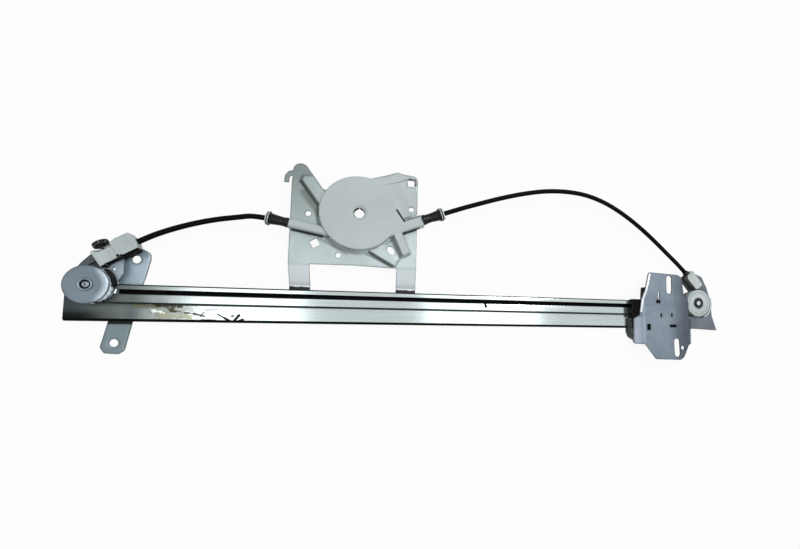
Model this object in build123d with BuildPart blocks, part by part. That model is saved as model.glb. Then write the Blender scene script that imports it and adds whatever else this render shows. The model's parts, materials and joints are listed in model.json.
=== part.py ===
from build123d import *
import math
import os

os.makedirs("parts", exist_ok=True)

# Cable window regulator without its motor. Millimetres.
# Origin: drum axis, on the plane of the motor face of the drive plate.
# +X runs along the rail towards the parked carrier, +Y from the rail towards the drum,
# +Z towards the window glass side, which is the side the picture shows.

# Sheet and clearances
SHEET = 1.5
RUN = 0.05
SOFT = 0.3
SLIDE_GAP = 0.4
SLIDE_PLAY = 0.5
Z_MOUNT = -12.0

# Cable and conduit
Z_CABLE = 0.0
CABLE_R = 0.75
CABLE_GAP = 0.15
GROOVE_LIP = 0.25
CONDUIT_R = 2.5
LINER_R = CABLE_R + 0.4

# Pulleys
PULLEY_X_L, PULLEY_X_R, PULLEY_Y = -216.8, 390.3, -78.0
LEFT_END, RIGHT_END = (PULLEY_X_L, PULLEY_Y), (PULLEY_X_R, PULLEY_Y)
PULLEY_WRAP = 14.9
PULLEY_RIM = PULLEY_WRAP + 1.3
PULLEY_HALF = 3.7
AXLE_R = 3.0
RUN_Y = PULLEY_Y - PULLEY_WRAP

# Rail section, set out from the cable that runs along it
RAIL_TOP, RAIL_LIP = RUN_Y + 16.7, RUN_Y + 12.1
RAIL_STEP, RAIL_FOOT = RUN_Y + 8.6, RUN_Y - 16.1
RAIL_L, RAIL_R = PULLEY_X_L - 19.5, PULLEY_X_R - 2.3
RAIL_BASE = Z_MOUNT + SHEET
BRACKET_TOP = Z_CABLE - PULLEY_HALF - SOFT
RAIL_DECK = BRACKET_TOP - SHEET
RAIL_FRONT = RAIL_DECK + 3.5
RIVETS = ((PULLEY_X_R - 10.3, RUN_Y - 4.1), (PULLEY_X_R - 10.3, RUN_Y - 11.1))

# Drum, its seat in the drive plate and its cover
DRUM_WRAP = 25.0
DRUM_RIM = DRUM_WRAP + 2.5
WALL_R = DRUM_RIM + 6.5
COVER_R = WALL_R + 2.4
SEAT_R = COVER_R + 3.1
RAISED = 3.0
SEAT_TOP = RAISED + SHEET
Z_LEFT = SEAT_TOP + 1.8
Z_RIGHT = Z_LEFT + 2.4
DRUM_LOW, DRUM_HIGH = SEAT_TOP + 0.4, Z_RIGHT + 1.5
COVER_TOP = DRUM_HIGH + 1.8
HUB_HOLE = 5.2
COLLAR_R = 8.0
PILOT_R = 12.0
SOCKET_R = 4.6
LEFT_TILT, RIGHT_TILT = -10.6, 22.0
FIT_L, FIT_R = 33.5, -45.0
FIXING_R = 3.5

# Carrier: parked just short of the right pulley
SLIDER_TAIL, SLIDER_REACH, PARK_GAP = 36.4, 32.0, 6.1
SLIDER_MID = PULLEY_X_R - PULLEY_RIM - PARK_GAP - SLIDER_REACH
PARK = (SLIDER_MID, RUN_Y)
CARRIER_Z = 8.0
NIPPLE, NIPPLE_GAP = 7.0, 0.6


def unit(deg):
    return Vector(math.cos(math.radians(deg)), math.sin(math.radians(deg)), 0)


def along(origin, deg, s, off=0.0, z=0.0):
    u = unit(deg)
    n = unit(deg + 90)
    return Vector(*origin) + u * s + n * off + Vector(0, 0, z)


def facing(origin, deg):
    # a plane whose normal runs along the direction deg, for tubes and bores laid along it
    return Plane(origin=origin, x_dir=(0, 0, 1), z_dir=unit(deg))


def slab(origin, deg):
    # a plane parallel to the mounting plane, with its X along the direction deg
    return Plane(origin=origin, x_dir=unit(deg), z_dir=(0, 0, 1))


def level(z, at=(0, 0)):
    # a plane at height z above the drum's mounting face, with its zero at a pulley or at the carrier
    return Plane(origin=(at[0], at[1], z))


def across(x, y, z):
    # a plane that looks up from the rail's lower side, for bends whose section shows from there
    return Plane(origin=(x, y, z), x_dir=(1, 0, 0), z_dir=(0, -1, 0))


def put(at, places, z):
    # places given from that same zero, at height z
    return [(at[0] + x, at[1] + y, z) for x, y in places]


# Where the cables leave the pulleys and the drum
TAN_L = along((PULLEY_X_L, PULLEY_Y), FIT_L + 90, PULLEY_WRAP)
TAN_R = along((PULLEY_X_R, PULLEY_Y), FIT_R + 90, PULLEY_WRAP)
DRUM_L = along((0, 0), LEFT_TILT - 90, DRUM_WRAP)
DRUM_R = along((0, 0), RIGHT_TILT - 90, DRUM_WRAP)

# Conduit routes, from the pulley fitting to the drum boot, and from the boot to the fitting
L_START = along(TAN_L, FIT_L, 33.0, 0, Z_CABLE)
L_END = along(DRUM_L, LEFT_TILT + 180, 60.0, 0, Z_LEFT)
R_START = along(DRUM_R, RIGHT_TILT, 57.0, 0, Z_RIGHT)
R_END = along(TAN_R, FIT_R + 180, 22.0, 0, Z_CABLE)
L_ROUTE = [L_START, along(TAN_L, FIT_L, 56.0, 0, Z_CABLE), (-161.5, -26.6, 1.0), (-142.5, -19.6, 2.4),
           (-124.0, -14.6, 4.0), (-106.0, -11.4, 5.4), along(DRUM_L, LEFT_TILT + 180, 87.0, 0, Z_LEFT), L_END]
R_ROUTE = [R_START, along(DRUM_R, RIGHT_TILT, 91.0, 0, Z_RIGHT), (117.0, 19.3, 9.0), (141.0, 27.6, 9.1),
           (166.5, 35.2, 8.8), (193.0, 41.0, 8.2), (219.0, 43.0, 7.4), (244.0, 41.2, 6.4), (268.5, 34.0, 5.2),
           (291.0, 22.9, 4.0), (312.5, 9.3, 2.9), (333.0, -6.0, 1.7), (351.0, -20.8, 0.7),
           along(TAN_R, FIT_R + 180, 47.0, 0, Z_CABLE), R_END]


def bend_radii(route):
    pts = [Vector(*p) if isinstance(p, tuple) else p for p in route]
    out = []
    for a, b, c in zip(pts, pts[1:], pts[2:]):
        turn = (b - a).get_angle(c - b)
        out.append(0.45 * min((b - a).length, (c - b).length) / math.tan(math.radians(turn / 2)))
    return out


L_RADII, R_RADII = bend_radii(L_ROUTE), bend_radii(R_ROUTE)
print("left conduit bend radii", [round(r, 1) for r in L_RADII])
print("right conduit bend radii", [round(r, 1) for r in R_RADII])

# Guide rail: roll-formed profile, swept straight, its channel cut back around both pulleys
LEFT_CUT, RIGHT_CUT = PULLEY_X_L + PULLEY_RIM + 3.0, PULLEY_X_R - PULLEY_RIM - 5.6
RIVET_R = 1.6
with BuildPart() as guide_rail:
    with BuildSketch(Plane.YZ.offset(RAIL_L)) as profile:
        with BuildLine() as outline:
            Polyline((RAIL_LIP, RAIL_FRONT), (RAIL_TOP, RAIL_FRONT), (RAIL_TOP, RAIL_BASE),
                     (RAIL_STEP - SHEET, RAIL_BASE), (RAIL_STEP - SHEET, RAIL_DECK - SHEET),
                     (RAIL_FOOT + SHEET, RAIL_DECK - SHEET), (RAIL_FOOT + SHEET, RAIL_BASE),
                     (RAIL_FOOT, RAIL_BASE), (RAIL_FOOT, RAIL_DECK), (RAIL_STEP, RAIL_DECK),
                     (RAIL_STEP, RAIL_BASE + SHEET), (RAIL_TOP - SHEET, RAIL_BASE + SHEET),
                     (RAIL_TOP - SHEET, RAIL_FRONT - SHEET), (RAIL_LIP, RAIL_FRONT - SHEET), close=True)
        make_face()
    extrude(amount=RAIL_R - RAIL_L)
    with BuildSketch(Plane.XY.offset(RAIL_BASE - 1)) as left_cut:
        with BuildLine() as cut_line:
            Polyline((RAIL_L - 5, RAIL_TOP + 5), (LEFT_CUT, RAIL_TOP + 5),
                     (LEFT_CUT, RAIL_STEP), (RAIL_L - 5, RAIL_STEP), close=True)
        make_face()
    extrude(amount=20, mode=Mode.SUBTRACT)
    with BuildSketch(Plane.XY.offset(RAIL_BASE - 1)) as right_cut:
        with BuildLine() as cut_line:
            Polyline((RIGHT_CUT, RAIL_TOP + 5), (RAIL_R + 5, RAIL_TOP + 5), (RAIL_R + 5, RAIL_STEP),
                     (RIGHT_CUT, RAIL_STEP), close=True)
        make_face()
    extrude(amount=20, mode=Mode.SUBTRACT)
    with Locations(put((0, 0), RIVETS, RAIL_DECK)):
        Cylinder(RIVET_R, 6, mode=Mode.SUBTRACT)
guide_rail.part.label = "guide_rail"

# Left mounting strap, welded across the back of the rail
STRAP_HOLES = ((28.2, 25.1), (15.7, -50.1))
with BuildPart() as left_mount_strap:
    with BuildSketch(level(Z_MOUNT, LEFT_END)) as strap_shape:
        with BuildLine() as strap_line:
            Polyline((18.4, 29.0), (22.8, 34.4), (32.6, 35.0), (38.6, 31.2), (39.2, 26.0),
                     (36.4, 11.3), (34.1, 1.8), (28.4, -31.7), (24.0, -56.5), (19.9, -60.0),
                     (9.2, -59.2), (5.8, -54.0), (10.2, -32.0), (16.0, 2.5), close=True)
        make_face()
    extrude(amount=SHEET)
    with Locations(put(LEFT_END, STRAP_HOLES, Z_MOUNT)):
        Cylinder(FIXING_R, 8, mode=Mode.SUBTRACT)
left_mount_strap.part.label = "left_mount_strap"

# Left pulley bracket: plate on the rail's deck, reaching up under the cable fitting
UNDER_FITTING = [along(TAN_L, FIT_L, s, off) for s, off in
                 ((3.7, 6.6), (12.6, 9.2), (30.0, 8.4), (33.8, 0.4), (32.3, -6.3), (25.2, -17.8))]
UNDER_PULLEY = [along(LEFT_END, 0, x, y) for x, y in
                ((18.8, 4.5), (14.8, -9.0), (7.8, -13.5), (-7.2, -13.5), (-12.7, -10.0), (-15.6, -1.0),
                 (-13.8, 12.0))]
LOBE_HOLE = (15.2, 15.0)
with BuildPart() as left_pulley_bracket:
    with BuildSketch(Plane.XY.offset(RAIL_DECK)) as bracket_shape:
        with BuildLine() as bracket_line:
            Polyline(*[(p.X, p.Y) for p in UNDER_FITTING + UNDER_PULLEY], close=True)
        make_face()
    extrude(amount=SHEET)
    with Locations((PULLEY_X_L, PULLEY_Y, RAIL_DECK)):
        Cylinder(AXLE_R, 6, mode=Mode.SUBTRACT)
    with Locations(put(LEFT_END, (LOBE_HOLE,), RAIL_DECK)):
        Cylinder(1.1, 6, mode=Mode.SUBTRACT)
left_pulley_bracket.part.label = "left_pulley_bracket"

# Left axle: shouldered pin with a broad recessed head that holds the cover disc
COVER_GAP = 0.7
DISC_Z = PULLEY_HALF + COVER_GAP
with BuildPart() as left_axle:
    with Locations((PULLEY_X_L, PULLEY_Y, (RAIL_DECK - 1.2 + DISC_Z + 2.2) / 2)):
        Cylinder(AXLE_R, DISC_Z + 2.2 - RAIL_DECK + 1.2)
    with Locations((PULLEY_X_L, PULLEY_Y, RAIL_DECK - 0.75)):
        Cylinder(5.0, 1.5)
    with Locations((PULLEY_X_L, PULLEY_Y, DISC_Z + 1.2 + 0.5)):
        Cylinder(5.6, 1.0)
    with Locations((PULLEY_X_L, PULLEY_Y, DISC_Z + 2.2)):
        Cylinder(2.0, 2.0, mode=Mode.SUBTRACT)
left_axle.part.label = "left_axle"

# Left pulley: grooved plastic wheel, running on the axle
PULLEY_FLOOR = PULLEY_WRAP - CABLE_R - CABLE_GAP
FLOOR_HALF = CABLE_R + GROOVE_LIP
RIM_FLAT = PULLEY_HALF - 1.3
with BuildPart() as left_pulley:
    with BuildSketch(Plane.XZ) as wheel:
        with BuildLine() as wheel_line:
            Polyline((AXLE_R + RUN, -PULLEY_HALF), (PULLEY_RIM, -PULLEY_HALF), (PULLEY_RIM, -RIM_FLAT),
                     (PULLEY_FLOOR, -FLOOR_HALF), (PULLEY_FLOOR, FLOOR_HALF), (PULLEY_RIM, RIM_FLAT),
                     (PULLEY_RIM, PULLEY_HALF), (AXLE_R + RUN, PULLEY_HALF), close=True)
        make_face()
    revolve(axis=Axis.Z)
left_pulley.part = left_pulley.part.moved(Location((PULLEY_X_L, PULLEY_Y, Z_CABLE)))
left_pulley.part.label = "left_pulley"

# Left cover disc: flat steel washer over the pulley
with BuildPart() as left_pulley_cover:
    with Locations((PULLEY_X_L, PULLEY_Y, DISC_Z + 0.6)):
        Cylinder(PULLEY_RIM + 0.4, 1.2)
        Cylinder(AXLE_R, 3, mode=Mode.SUBTRACT)
left_pulley_cover.part.label = "left_pulley_cover"

# Left guard: thin black wall that keeps a slack cable in the groove
with BuildPart() as left_cable_guard:
    with BuildSketch(Plane.XY.offset(BRACKET_TOP)) as guard_shape:
        with BuildLine() as guard_line:
            a1 = CenterArc(LEFT_END, PULLEY_RIM + 0.7, -4, 55)
            a2 = CenterArc(LEFT_END, PULLEY_RIM + 2.4, -4, 55)
            Line(a1 @ 0, a2 @ 0)
            Line(a1 @ 1, a2 @ 1)
        make_face()
    extrude(amount=Z_CABLE + 2.0 - BRACKET_TOP)
left_cable_guard.part.label = "left_cable_guard"

# Left cable fitting: pale socket block on the bracket, on the line where the cable meets the pulley
FIT_LOW = BRACKET_TOP
BUTTON_S = 25.0
with BuildPart() as left_cable_fitting:
    with BuildSketch(slab(along(TAN_L, FIT_L, 0, 0, FIT_LOW), FIT_L)) as fitting_shape:
        with BuildLine() as fitting_line:
            Polyline((16.2, -7.4), (19.8, -7.4), (19.8, -6.4), (31.5, -6.4), (33.0, -8.0), (48.0, -7.8),
                     (49.4, -2.0), (50.0, 3.0), (48.0, 9.6), (36.8, 9.8), (31.0, 7.2), (19.8, 6.6),
                     (19.8, 7.6), (16.2, 7.6), close=True)
        make_face()
    extrude(amount=9.0)
    with BuildSketch(facing(along(TAN_L, FIT_L, 10, 0, Z_CABLE), FIT_L)) as cable_bore:
        Circle(LINER_R)
    extrude(amount=45, mode=Mode.SUBTRACT)
    with BuildSketch(facing(along(TAN_L, FIT_L, 32, 0, Z_CABLE), FIT_L)) as socket:
        Circle(CONDUIT_R + RUN)
    extrude(amount=25, mode=Mode.SUBTRACT)
    with BuildSketch(facing(along(TAN_L, FIT_L, BUTTON_S, 4.2, Z_CABLE), FIT_L + 90)) as button_bore:
        Circle(2.0)
    extrude(amount=5.0, mode=Mode.SUBTRACT)
left_cable_fitting.part.label = "left_cable_fitting"

# Rubber button pressed into the side of the left fitting
with BuildPart() as left_fitting_button:
    with BuildSketch(facing(along(TAN_L, FIT_L, BUTTON_S, 4.3, Z_CABLE), FIT_L + 90)) as button_stem:
        Circle(2.0)
    extrude(amount=6.0)
    with BuildSketch(facing(along(TAN_L, FIT_L, BUTTON_S, 9.6, Z_CABLE), FIT_L + 90)) as button_head:
        Circle(6.2)
    extrude(amount=4.2)
left_fitting_button.part.label = "left_fitting_button"


# Conduits: hollow sleeves on the routes the picture shows, held in both housings
with BuildPart() as left_conduit:
    with BuildLine() as left_path:
        FilletPolyline(*L_ROUTE, radius=L_RADII)
    with BuildSketch(facing(L_START, FIT_L)) as left_ring:
        Circle(CONDUIT_R)
        Circle(LINER_R, mode=Mode.SUBTRACT)
    sweep()
left_conduit.part.label = "left_conduit"

with BuildPart() as right_conduit:
    with BuildLine() as right_path:
        FilletPolyline(*R_ROUTE, radius=R_RADII)
    with BuildSketch(facing(R_START, RIGHT_TILT)) as right_ring:
        Circle(CONDUIT_R)
        Circle(LINER_R, mode=Mode.SUBTRACT)
    sweep()
right_conduit.part.label = "right_conduit"

SLEEVE_AREA = math.pi * (CONDUIT_R ** 2 - LINER_R ** 2)
for sleeve, path in ((left_conduit, left_path), (right_conduit, right_path)):
    print(sleeve.part.label, "length", round(path.wires()[0].length, 1),
          "volume over section x length", round(sleeve.part.volume / (SLEEVE_AREA * path.wires()[0].length), 4))

# Inner cables: through each conduit, round its pulley and along the rail to the parked slider
CABLE_END = NIPPLE_GAP - 0.2
with BuildPart() as left_inner_cable:
    with BuildLine() as left_core:
        Line(along(DRUM_L, LEFT_TILT + 180, 20.0, 0, Z_LEFT), L_END)
        FilletPolyline(*reversed(L_ROUTE), radius=list(reversed(L_RADII)))
        Line(L_START, Vector(TAN_L.X, TAN_L.Y, Z_CABLE))
    with BuildSketch(facing(along(DRUM_L, LEFT_TILT + 180, 20.0, 0, Z_LEFT), LEFT_TILT + 180)) as strand_a:
        Circle(CABLE_R)
    sweep()
    with BuildSketch(facing(Vector(TAN_L.X, TAN_L.Y, Z_CABLE), FIT_L + 180)) as strand_b:
        Circle(CABLE_R)
    revolve(axis=Axis((PULLEY_X_L, PULLEY_Y, 0), (0, 0, 1)), revolution_arc=270 - (FIT_L + 90))
    with BuildSketch(facing((PULLEY_X_L, RUN_Y, Z_CABLE), 0)) as strand_c:
        Circle(CABLE_R)
    extrude(amount=SLIDER_MID - CABLE_END - PULLEY_X_L)
left_inner_cable.part.label = "left_inner_cable"

with BuildPart() as right_inner_cable:
    with BuildLine() as right_core:
        Line(along(DRUM_R, RIGHT_TILT, 20.0, 0, Z_RIGHT), R_START)
        FilletPolyline(*R_ROUTE, radius=R_RADII)
        Line(R_END, Vector(TAN_R.X, TAN_R.Y, Z_CABLE))
    with BuildSketch(facing(along(DRUM_R, RIGHT_TILT, 20.0, 0, Z_RIGHT), RIGHT_TILT)) as strand_d:
        Circle(CABLE_R)
    sweep()
    with BuildSketch(facing(Vector(TAN_R.X, TAN_R.Y, Z_CABLE), FIT_R)) as strand_e:
        Circle(CABLE_R)
    revolve(axis=Axis((PULLEY_X_R, PULLEY_Y, 0), (0, 0, -1)), revolution_arc=FIT_R + 90 + 90)
    with BuildSketch(facing((SLIDER_MID + CABLE_END, RUN_Y, Z_CABLE), 0)) as strand_f:
        Circle(CABLE_R)
    extrude(amount=PULLEY_X_R - SLIDER_MID - CABLE_END)
right_inner_cable.part.label = "right_inner_cable"

# Drum boots: black bellows-like sleeves pushed into the exit arms
for_boots = ((DRUM_L, LEFT_TILT + 180, 58.6, 77.2, Z_LEFT), (DRUM_R, RIGHT_TILT, 55.2, 76.6, Z_RIGHT))
with BuildPart() as left_cable_boot:
    o, d, s0, s1, z0 = for_boots[0]
    with BuildSketch(facing(along(o, d, s0, 0, z0), d)) as boot_body:
        Circle(4.7)
    extrude(amount=s1 - s0)
    with BuildSketch(facing(along(o, d, s1 - 2.0, 0, z0), d)) as boot_flange:
        Circle(6.7)
    extrude(amount=2.0)
    with BuildSketch(facing(along(o, d, s0 - 1, 0, z0), d)) as boot_bore:
        Circle(CONDUIT_R)
    extrude(amount=s1 - s0 + 4, mode=Mode.SUBTRACT)
left_cable_boot.part.label = "left_cable_boot"

with BuildPart() as right_cable_boot:
    o, d, s0, s1, z0 = for_boots[1]
    with BuildSketch(facing(along(o, d, s0, 0, z0), d)) as boot_body:
        Circle(5.2)
    extrude(amount=s1 - s0)
    with BuildSketch(facing(along(o, d, s1 - 3.4, 0, z0), d)) as boot_flange:
        Circle(6.7)
    extrude(amount=3.4)
    with BuildSketch(facing(along(o, d, s0 - 1, 0, z0), d)) as boot_bore:
        Circle(CONDUIT_R)
    extrude(amount=s1 - s0 + 4, mode=Mode.SUBTRACT)
right_cable_boot.part.label = "right_cable_boot"

with BuildPart() as left_conduit_ring:
    with BuildSketch(facing(along(DRUM_L, LEFT_TILT + 180, 77.2, 0, Z_LEFT), LEFT_TILT + 180)) as ring_shape:
        Circle(6.2)
        Circle(CONDUIT_R, mode=Mode.SUBTRACT)
    extrude(amount=1.2)
left_conduit_ring.part.label = "left_conduit_ring"

with BuildPart() as right_conduit_ring:
    with BuildSketch(facing(along(DRUM_R, RIGHT_TILT, 76.6, 0, Z_RIGHT), RIGHT_TILT)) as ring_shape:
        Circle(6.2)
        Circle(CONDUIT_R, mode=Mode.SUBTRACT)
    extrude(amount=1.4)
right_conduit_ring.part.label = "right_conduit_ring"

# Drive plate: pressed sheet with a raised drum seat, horn, corner bead, hook and two joggled legs
FOLD_Y = -50.5
LEG_BEND, LEG_END = RAIL_TOP + 4.7, RAIL_FOOT + 2.0
LEG_L, LEG_R = (-63.0, -44.3), (36.6, 56.4)
SCREWS = ((49.8, 9.6), (-47.0, -2.0), (-18.6, -41.6))
SCREW_ANGLES = (154.2, 76.9, -39.9)
HOUSING_SCREWS = [(q.X, q.Y) for q in (unit(a) * (WALL_R + COVER_R) / 2 for a in SCREW_ANGLES)]
HOUSING_SCREW_R = 0.85
SQUARE_A, SQUARE_B, OVAL = (48.8, 37.0), (-40.1, -30.8), (31.0, -34.6)
with BuildPart() as drive_plate:
    with BuildSketch(Plane.XY) as plate_shape:
        with BuildLine() as plate_line:
            Polyline((LEG_L[0], FOLD_Y), (-62.8, 25.6), (-62.2, 39.6), (-61.6, 43.0), (-58.6, 46.4),
                     (-54.6, 47.2), (-50.5, 45.6), (-33.2, 21.5), (-24.0, 28.0), (-10.0, 34.0), (10.4, 38.1),
                     (35.4, 47.6), (40.4, 46.0), (49.4, 45.3), (53.4, 44.4), (55.6, 40.6), (LEG_R[1], FOLD_Y - 1.3),
                     (LEG_R[0], FOLD_Y - 1.3), (LEG_R[0] - 2.2, FOLD_Y - 1.5), (-2.7, FOLD_Y - 0.3),
                     (LEG_L[1], FOLD_Y - 0.9), (LEG_L[1], FOLD_Y - 1.3), (LEG_L[0], FOLD_Y - 1.3), close=True)
        make_face()
    extrude(amount=SHEET)
    with BuildSketch(Plane.XY.offset(SHEET)) as seat_shape:
        Circle(SEAT_R)
        with BuildLine() as horn_line:
            Polyline((-55.2, 29.6), (-52.8, 35.0), (-43.6, 35.4), (-33.2, 21.0), (-20, 20), (-20, -10),
                     (-38.5, 5.5), close=True)
        make_face()
        with BuildLine() as tail_line:
            Polyline((5.0, -34.4), (34.6, FOLD_Y - 0.9), (40.6, FOLD_Y + 1.5), (52.0, -40.0), (42.0, -18.0),
                     (20.0, -15.0), close=True)
        make_face()
    extrude(amount=RAISED)
    with BuildSketch(Plane.XY) as seat_pocket:
        Circle(SEAT_R - SHEET)
        with BuildLine() as horn_pocket:
            Polyline((-52.6, 29.8), (-51.6, 33.2), (-44.8, 33.6), (-34.8, 19.6), (-22, 15), (-22, -5),
                     (-36.6, 7.4), close=True)
        make_face()
        with BuildLine() as tail_pocket:
            Polyline((9.0, -34.9), (34.4, FOLD_Y + 1.0), (39.6, FOLD_Y + 3.2), (49.6, -39.2), (40.4, -19.6),
                     (20.0, -17.0), close=True)
        make_face()
    extrude(amount=RAISED, mode=Mode.SUBTRACT)
    with BuildSketch(Plane.XY.offset(SHEET)) as bead_shape:
        with BuildLine() as bead_line:
            Polyline((14.0, 37.0), (35.4, 46.6), (40.4, 45.0), (49.0, 44.3), (52.8, 43.5), (54.6, 40.2),
                     (54.6, 35.0), (52.9, 35.0), (52.9, 40.9), (46.0, 41.4), (23.7, 30.2), (18.0, 32.0),
                     close=True)
        make_face()
    extrude(amount=SHEET)
    with Locations((0, 0, RAISED / 2 + SHEET / 2)):
        Cylinder(PILOT_R + SHEET, RAISED + SHEET)
        Cylinder(PILOT_R, 3 * RAISED, mode=Mode.SUBTRACT)
    with BuildSketch(Plane.YZ.offset(LEG_L[0])) as leg_a:
        with BuildLine() as leg_line:
            Polyline((FOLD_Y, SHEET), (LEG_BEND, RAIL_BASE), (LEG_END, RAIL_BASE), (LEG_END, Z_MOUNT),
                     (LEG_BEND - 0.9, Z_MOUNT), (FOLD_Y - 0.9, 0), (FOLD_Y + 2.5, 0), (FOLD_Y + 2.5, SHEET),
                     close=True)
        make_face()
    extrude(amount=LEG_L[1] - LEG_L[0])
    with BuildSketch(Plane.YZ.offset(LEG_R[0])) as leg_b:
        with BuildLine() as leg_line:
            Polyline((FOLD_Y, SHEET), (LEG_BEND, RAIL_BASE), (LEG_END, RAIL_BASE), (LEG_END, Z_MOUNT),
                     (LEG_BEND - 0.9, Z_MOUNT), (FOLD_Y - 0.9, 0), (FOLD_Y + 2.5, 0), (FOLD_Y + 2.5, SHEET),
                     close=True)
        make_face()
    extrude(amount=LEG_R[1] - LEG_R[0])
    with BuildSketch(Plane.XY) as hook_shape:
        with BuildLine() as hook_line:
            Polyline((-61.0, 39.6), (-66.0, 38.4), (-69.0, 34.0), (-69.6, 27.4), (-65.4, 27.4), (-65.0, 33.6),
                     (-61.0, 35.4), close=True)
        make_face()
    extrude(amount=SHEET)
    with Locations(put((0, 0), SCREWS, 0)):
        Cylinder(2.6, 12, mode=Mode.SUBTRACT)
    with Locations(put((0, 0), HOUSING_SCREWS, SEAT_TOP - SHEET / 2)):
        Cylinder(HOUSING_SCREW_R, SHEET + 4, mode=Mode.SUBTRACT)
    with BuildSketch(Plane.XY.offset(-2)) as clip_holes:
        with Locations(SQUARE_A):
            Rectangle(6.6, 6.6)
        with Locations(SQUARE_B):
            Rectangle(7.4, 7.4, rotation=30)
        with Locations(OVAL):
            SlotOverall(9.6, 6.6, rotation=-55)
    extrude(amount=12, mode=Mode.SUBTRACT)
drive_plate.part.label = "drive_plate"

# Drum housing: plastic cover over the drum with two cable exits, a sloped wing and a finger
ARM_L_END, ARM_R_END = 58.5, 55.2
SOCKET_DEEP = 3.8
SPRING_BORE = 3.4
with BuildPart() as drum_housing:
    with BuildSketch(Plane.XY.offset(SEAT_TOP)) as housing_wall:
        Circle(COVER_R)
    extrude(amount=COVER_TOP - SEAT_TOP)
    with BuildSketch(Plane.XZ.offset(-27.0)) as wing_side:
        with BuildLine() as wing_line:
            Polyline((20.0, SEAT_TOP), (20.0, COVER_TOP), (34.5, COVER_TOP), (46.6, 2.4), (46.6, SHEET),
                     (42.0, SHEET), (42.0, SEAT_TOP), close=True)
        make_face()
    extrude(amount=27.0 + 3.0)
    with BuildSketch(slab(along(DRUM_L, LEFT_TILT + 180, 0, 0, SEAT_TOP), LEFT_TILT + 180)) as arm_l:
        with Locations((ARM_L_END - 18.0, 0)):
            Rectangle(36.0, 9.4)
    extrude(amount=Z_LEFT + 4.3 - SEAT_TOP)
    with BuildSketch(slab(along(DRUM_L, LEFT_TILT + 180, 0, 0, SHEET), LEFT_TILT + 180)) as arm_l_foot:
        with Locations((ARM_L_END - 12.2, 0)):
            Rectangle(24.4, 9.4)
    extrude(amount=SEAT_TOP - SHEET)
    with BuildSketch(slab(along(DRUM_R, RIGHT_TILT, 0, 0, SEAT_TOP), RIGHT_TILT)) as arm_r:
        with Locations((ARM_R_END - 16.4, 0)):
            Rectangle(32.8, 12.4)
    extrude(amount=Z_RIGHT + 3.7 - SEAT_TOP)
    with BuildSketch(slab(along(DRUM_R, RIGHT_TILT, 0, 0, SHEET), RIGHT_TILT)) as arm_r_foot:
        with Locations((ARM_R_END - 7.6, 0)):
            Rectangle(15.2, 12.4)
    extrude(amount=SEAT_TOP - SHEET)
    with BuildSketch(slab(unit(-19.5) * (COVER_R - 3.5) + Vector(0, 0, SEAT_TOP), -66.0)) as finger_shape:
        with BuildLine() as finger_line:
            Polyline((0, -4.4), (32.0, -4.4), (32.0, 7.6), (0, 7.6), close=True)
        make_face()
    extrude(amount=COVER_TOP - 1.0 - SEAT_TOP)
    with BuildSketch(Plane.XY.offset(SEAT_TOP)) as drum_room:
        Circle(WALL_R)
        Circle(COLLAR_R, mode=Mode.SUBTRACT)
    extrude(amount=DRUM_HIGH + SOFT - SEAT_TOP, mode=Mode.SUBTRACT)
    with BuildSketch(Plane.XY.offset(SEAT_TOP)) as collar_cut:
        Circle(COLLAR_R + 1)
    extrude(amount=SOCKET_DEEP + SOFT, mode=Mode.SUBTRACT)
    with Locations((0, 0, COVER_TOP)):
        Cylinder(HUB_HOLE, 20, mode=Mode.SUBTRACT)
    with BuildSketch(facing(along(DRUM_L, LEFT_TILT + 180, 16.0, 0, Z_LEFT), LEFT_TILT + 180)) as exit_l:
        Circle(LINER_R)
    extrude(amount=50, mode=Mode.SUBTRACT)
    with BuildSketch(facing(along(DRUM_L, LEFT_TILT + 180, 40.0, 0, Z_LEFT), LEFT_TILT + 180)) as spring_l:
        Circle(SPRING_BORE)
    extrude(amount=30, mode=Mode.SUBTRACT)
    with BuildSketch(facing(along(DRUM_R, RIGHT_TILT, 16.0, 0, Z_RIGHT), RIGHT_TILT)) as exit_r:
        Circle(LINER_R)
    extrude(amount=50, mode=Mode.SUBTRACT)
    with BuildSketch(facing(along(DRUM_R, RIGHT_TILT, 38.0, 0, Z_RIGHT), RIGHT_TILT)) as spring_r:
        Circle(SPRING_BORE)
    extrude(amount=30, mode=Mode.SUBTRACT)
    with Locations(put((0, 0), HOUSING_SCREWS, SEAT_TOP)):
        Cylinder(HOUSING_SCREW_R, 7.6, mode=Mode.SUBTRACT)
drum_housing.part.label = "drum_housing"

# Tension springs in the exit arms, pushing the conduits out
SPRING_R, SPRING_WIRE = 2.6, 0.4
with BuildPart() as left_tension_spring:
    with BuildLine() as coil_l:
        Helix(pitch=1.6, height=14.4, radius=SPRING_R, center=along(DRUM_L, LEFT_TILT + 180, 41.2, 0, Z_LEFT),
              direction=unit(LEFT_TILT + 180))
    with BuildSketch(Plane(origin=coil_l.line @ 0, z_dir=coil_l.line % 0)) as wire_l:
        Circle(SPRING_WIRE)
    sweep(is_frenet=True)
left_tension_spring.part.label = "left_tension_spring"

with BuildPart() as right_tension_spring:
    with BuildLine() as coil_r:
        Helix(pitch=1.6, height=12.8, radius=SPRING_R, center=along(DRUM_R, RIGHT_TILT, 39.2, 0, Z_RIGHT),
              direction=unit(RIGHT_TILT))
    with BuildSketch(Plane(origin=coil_r.line @ 0, z_dir=coil_r.line % 0)) as wire_r:
        Circle(SPRING_WIRE)
    sweep(is_frenet=True)
right_tension_spring.part.label = "right_tension_spring"

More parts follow.
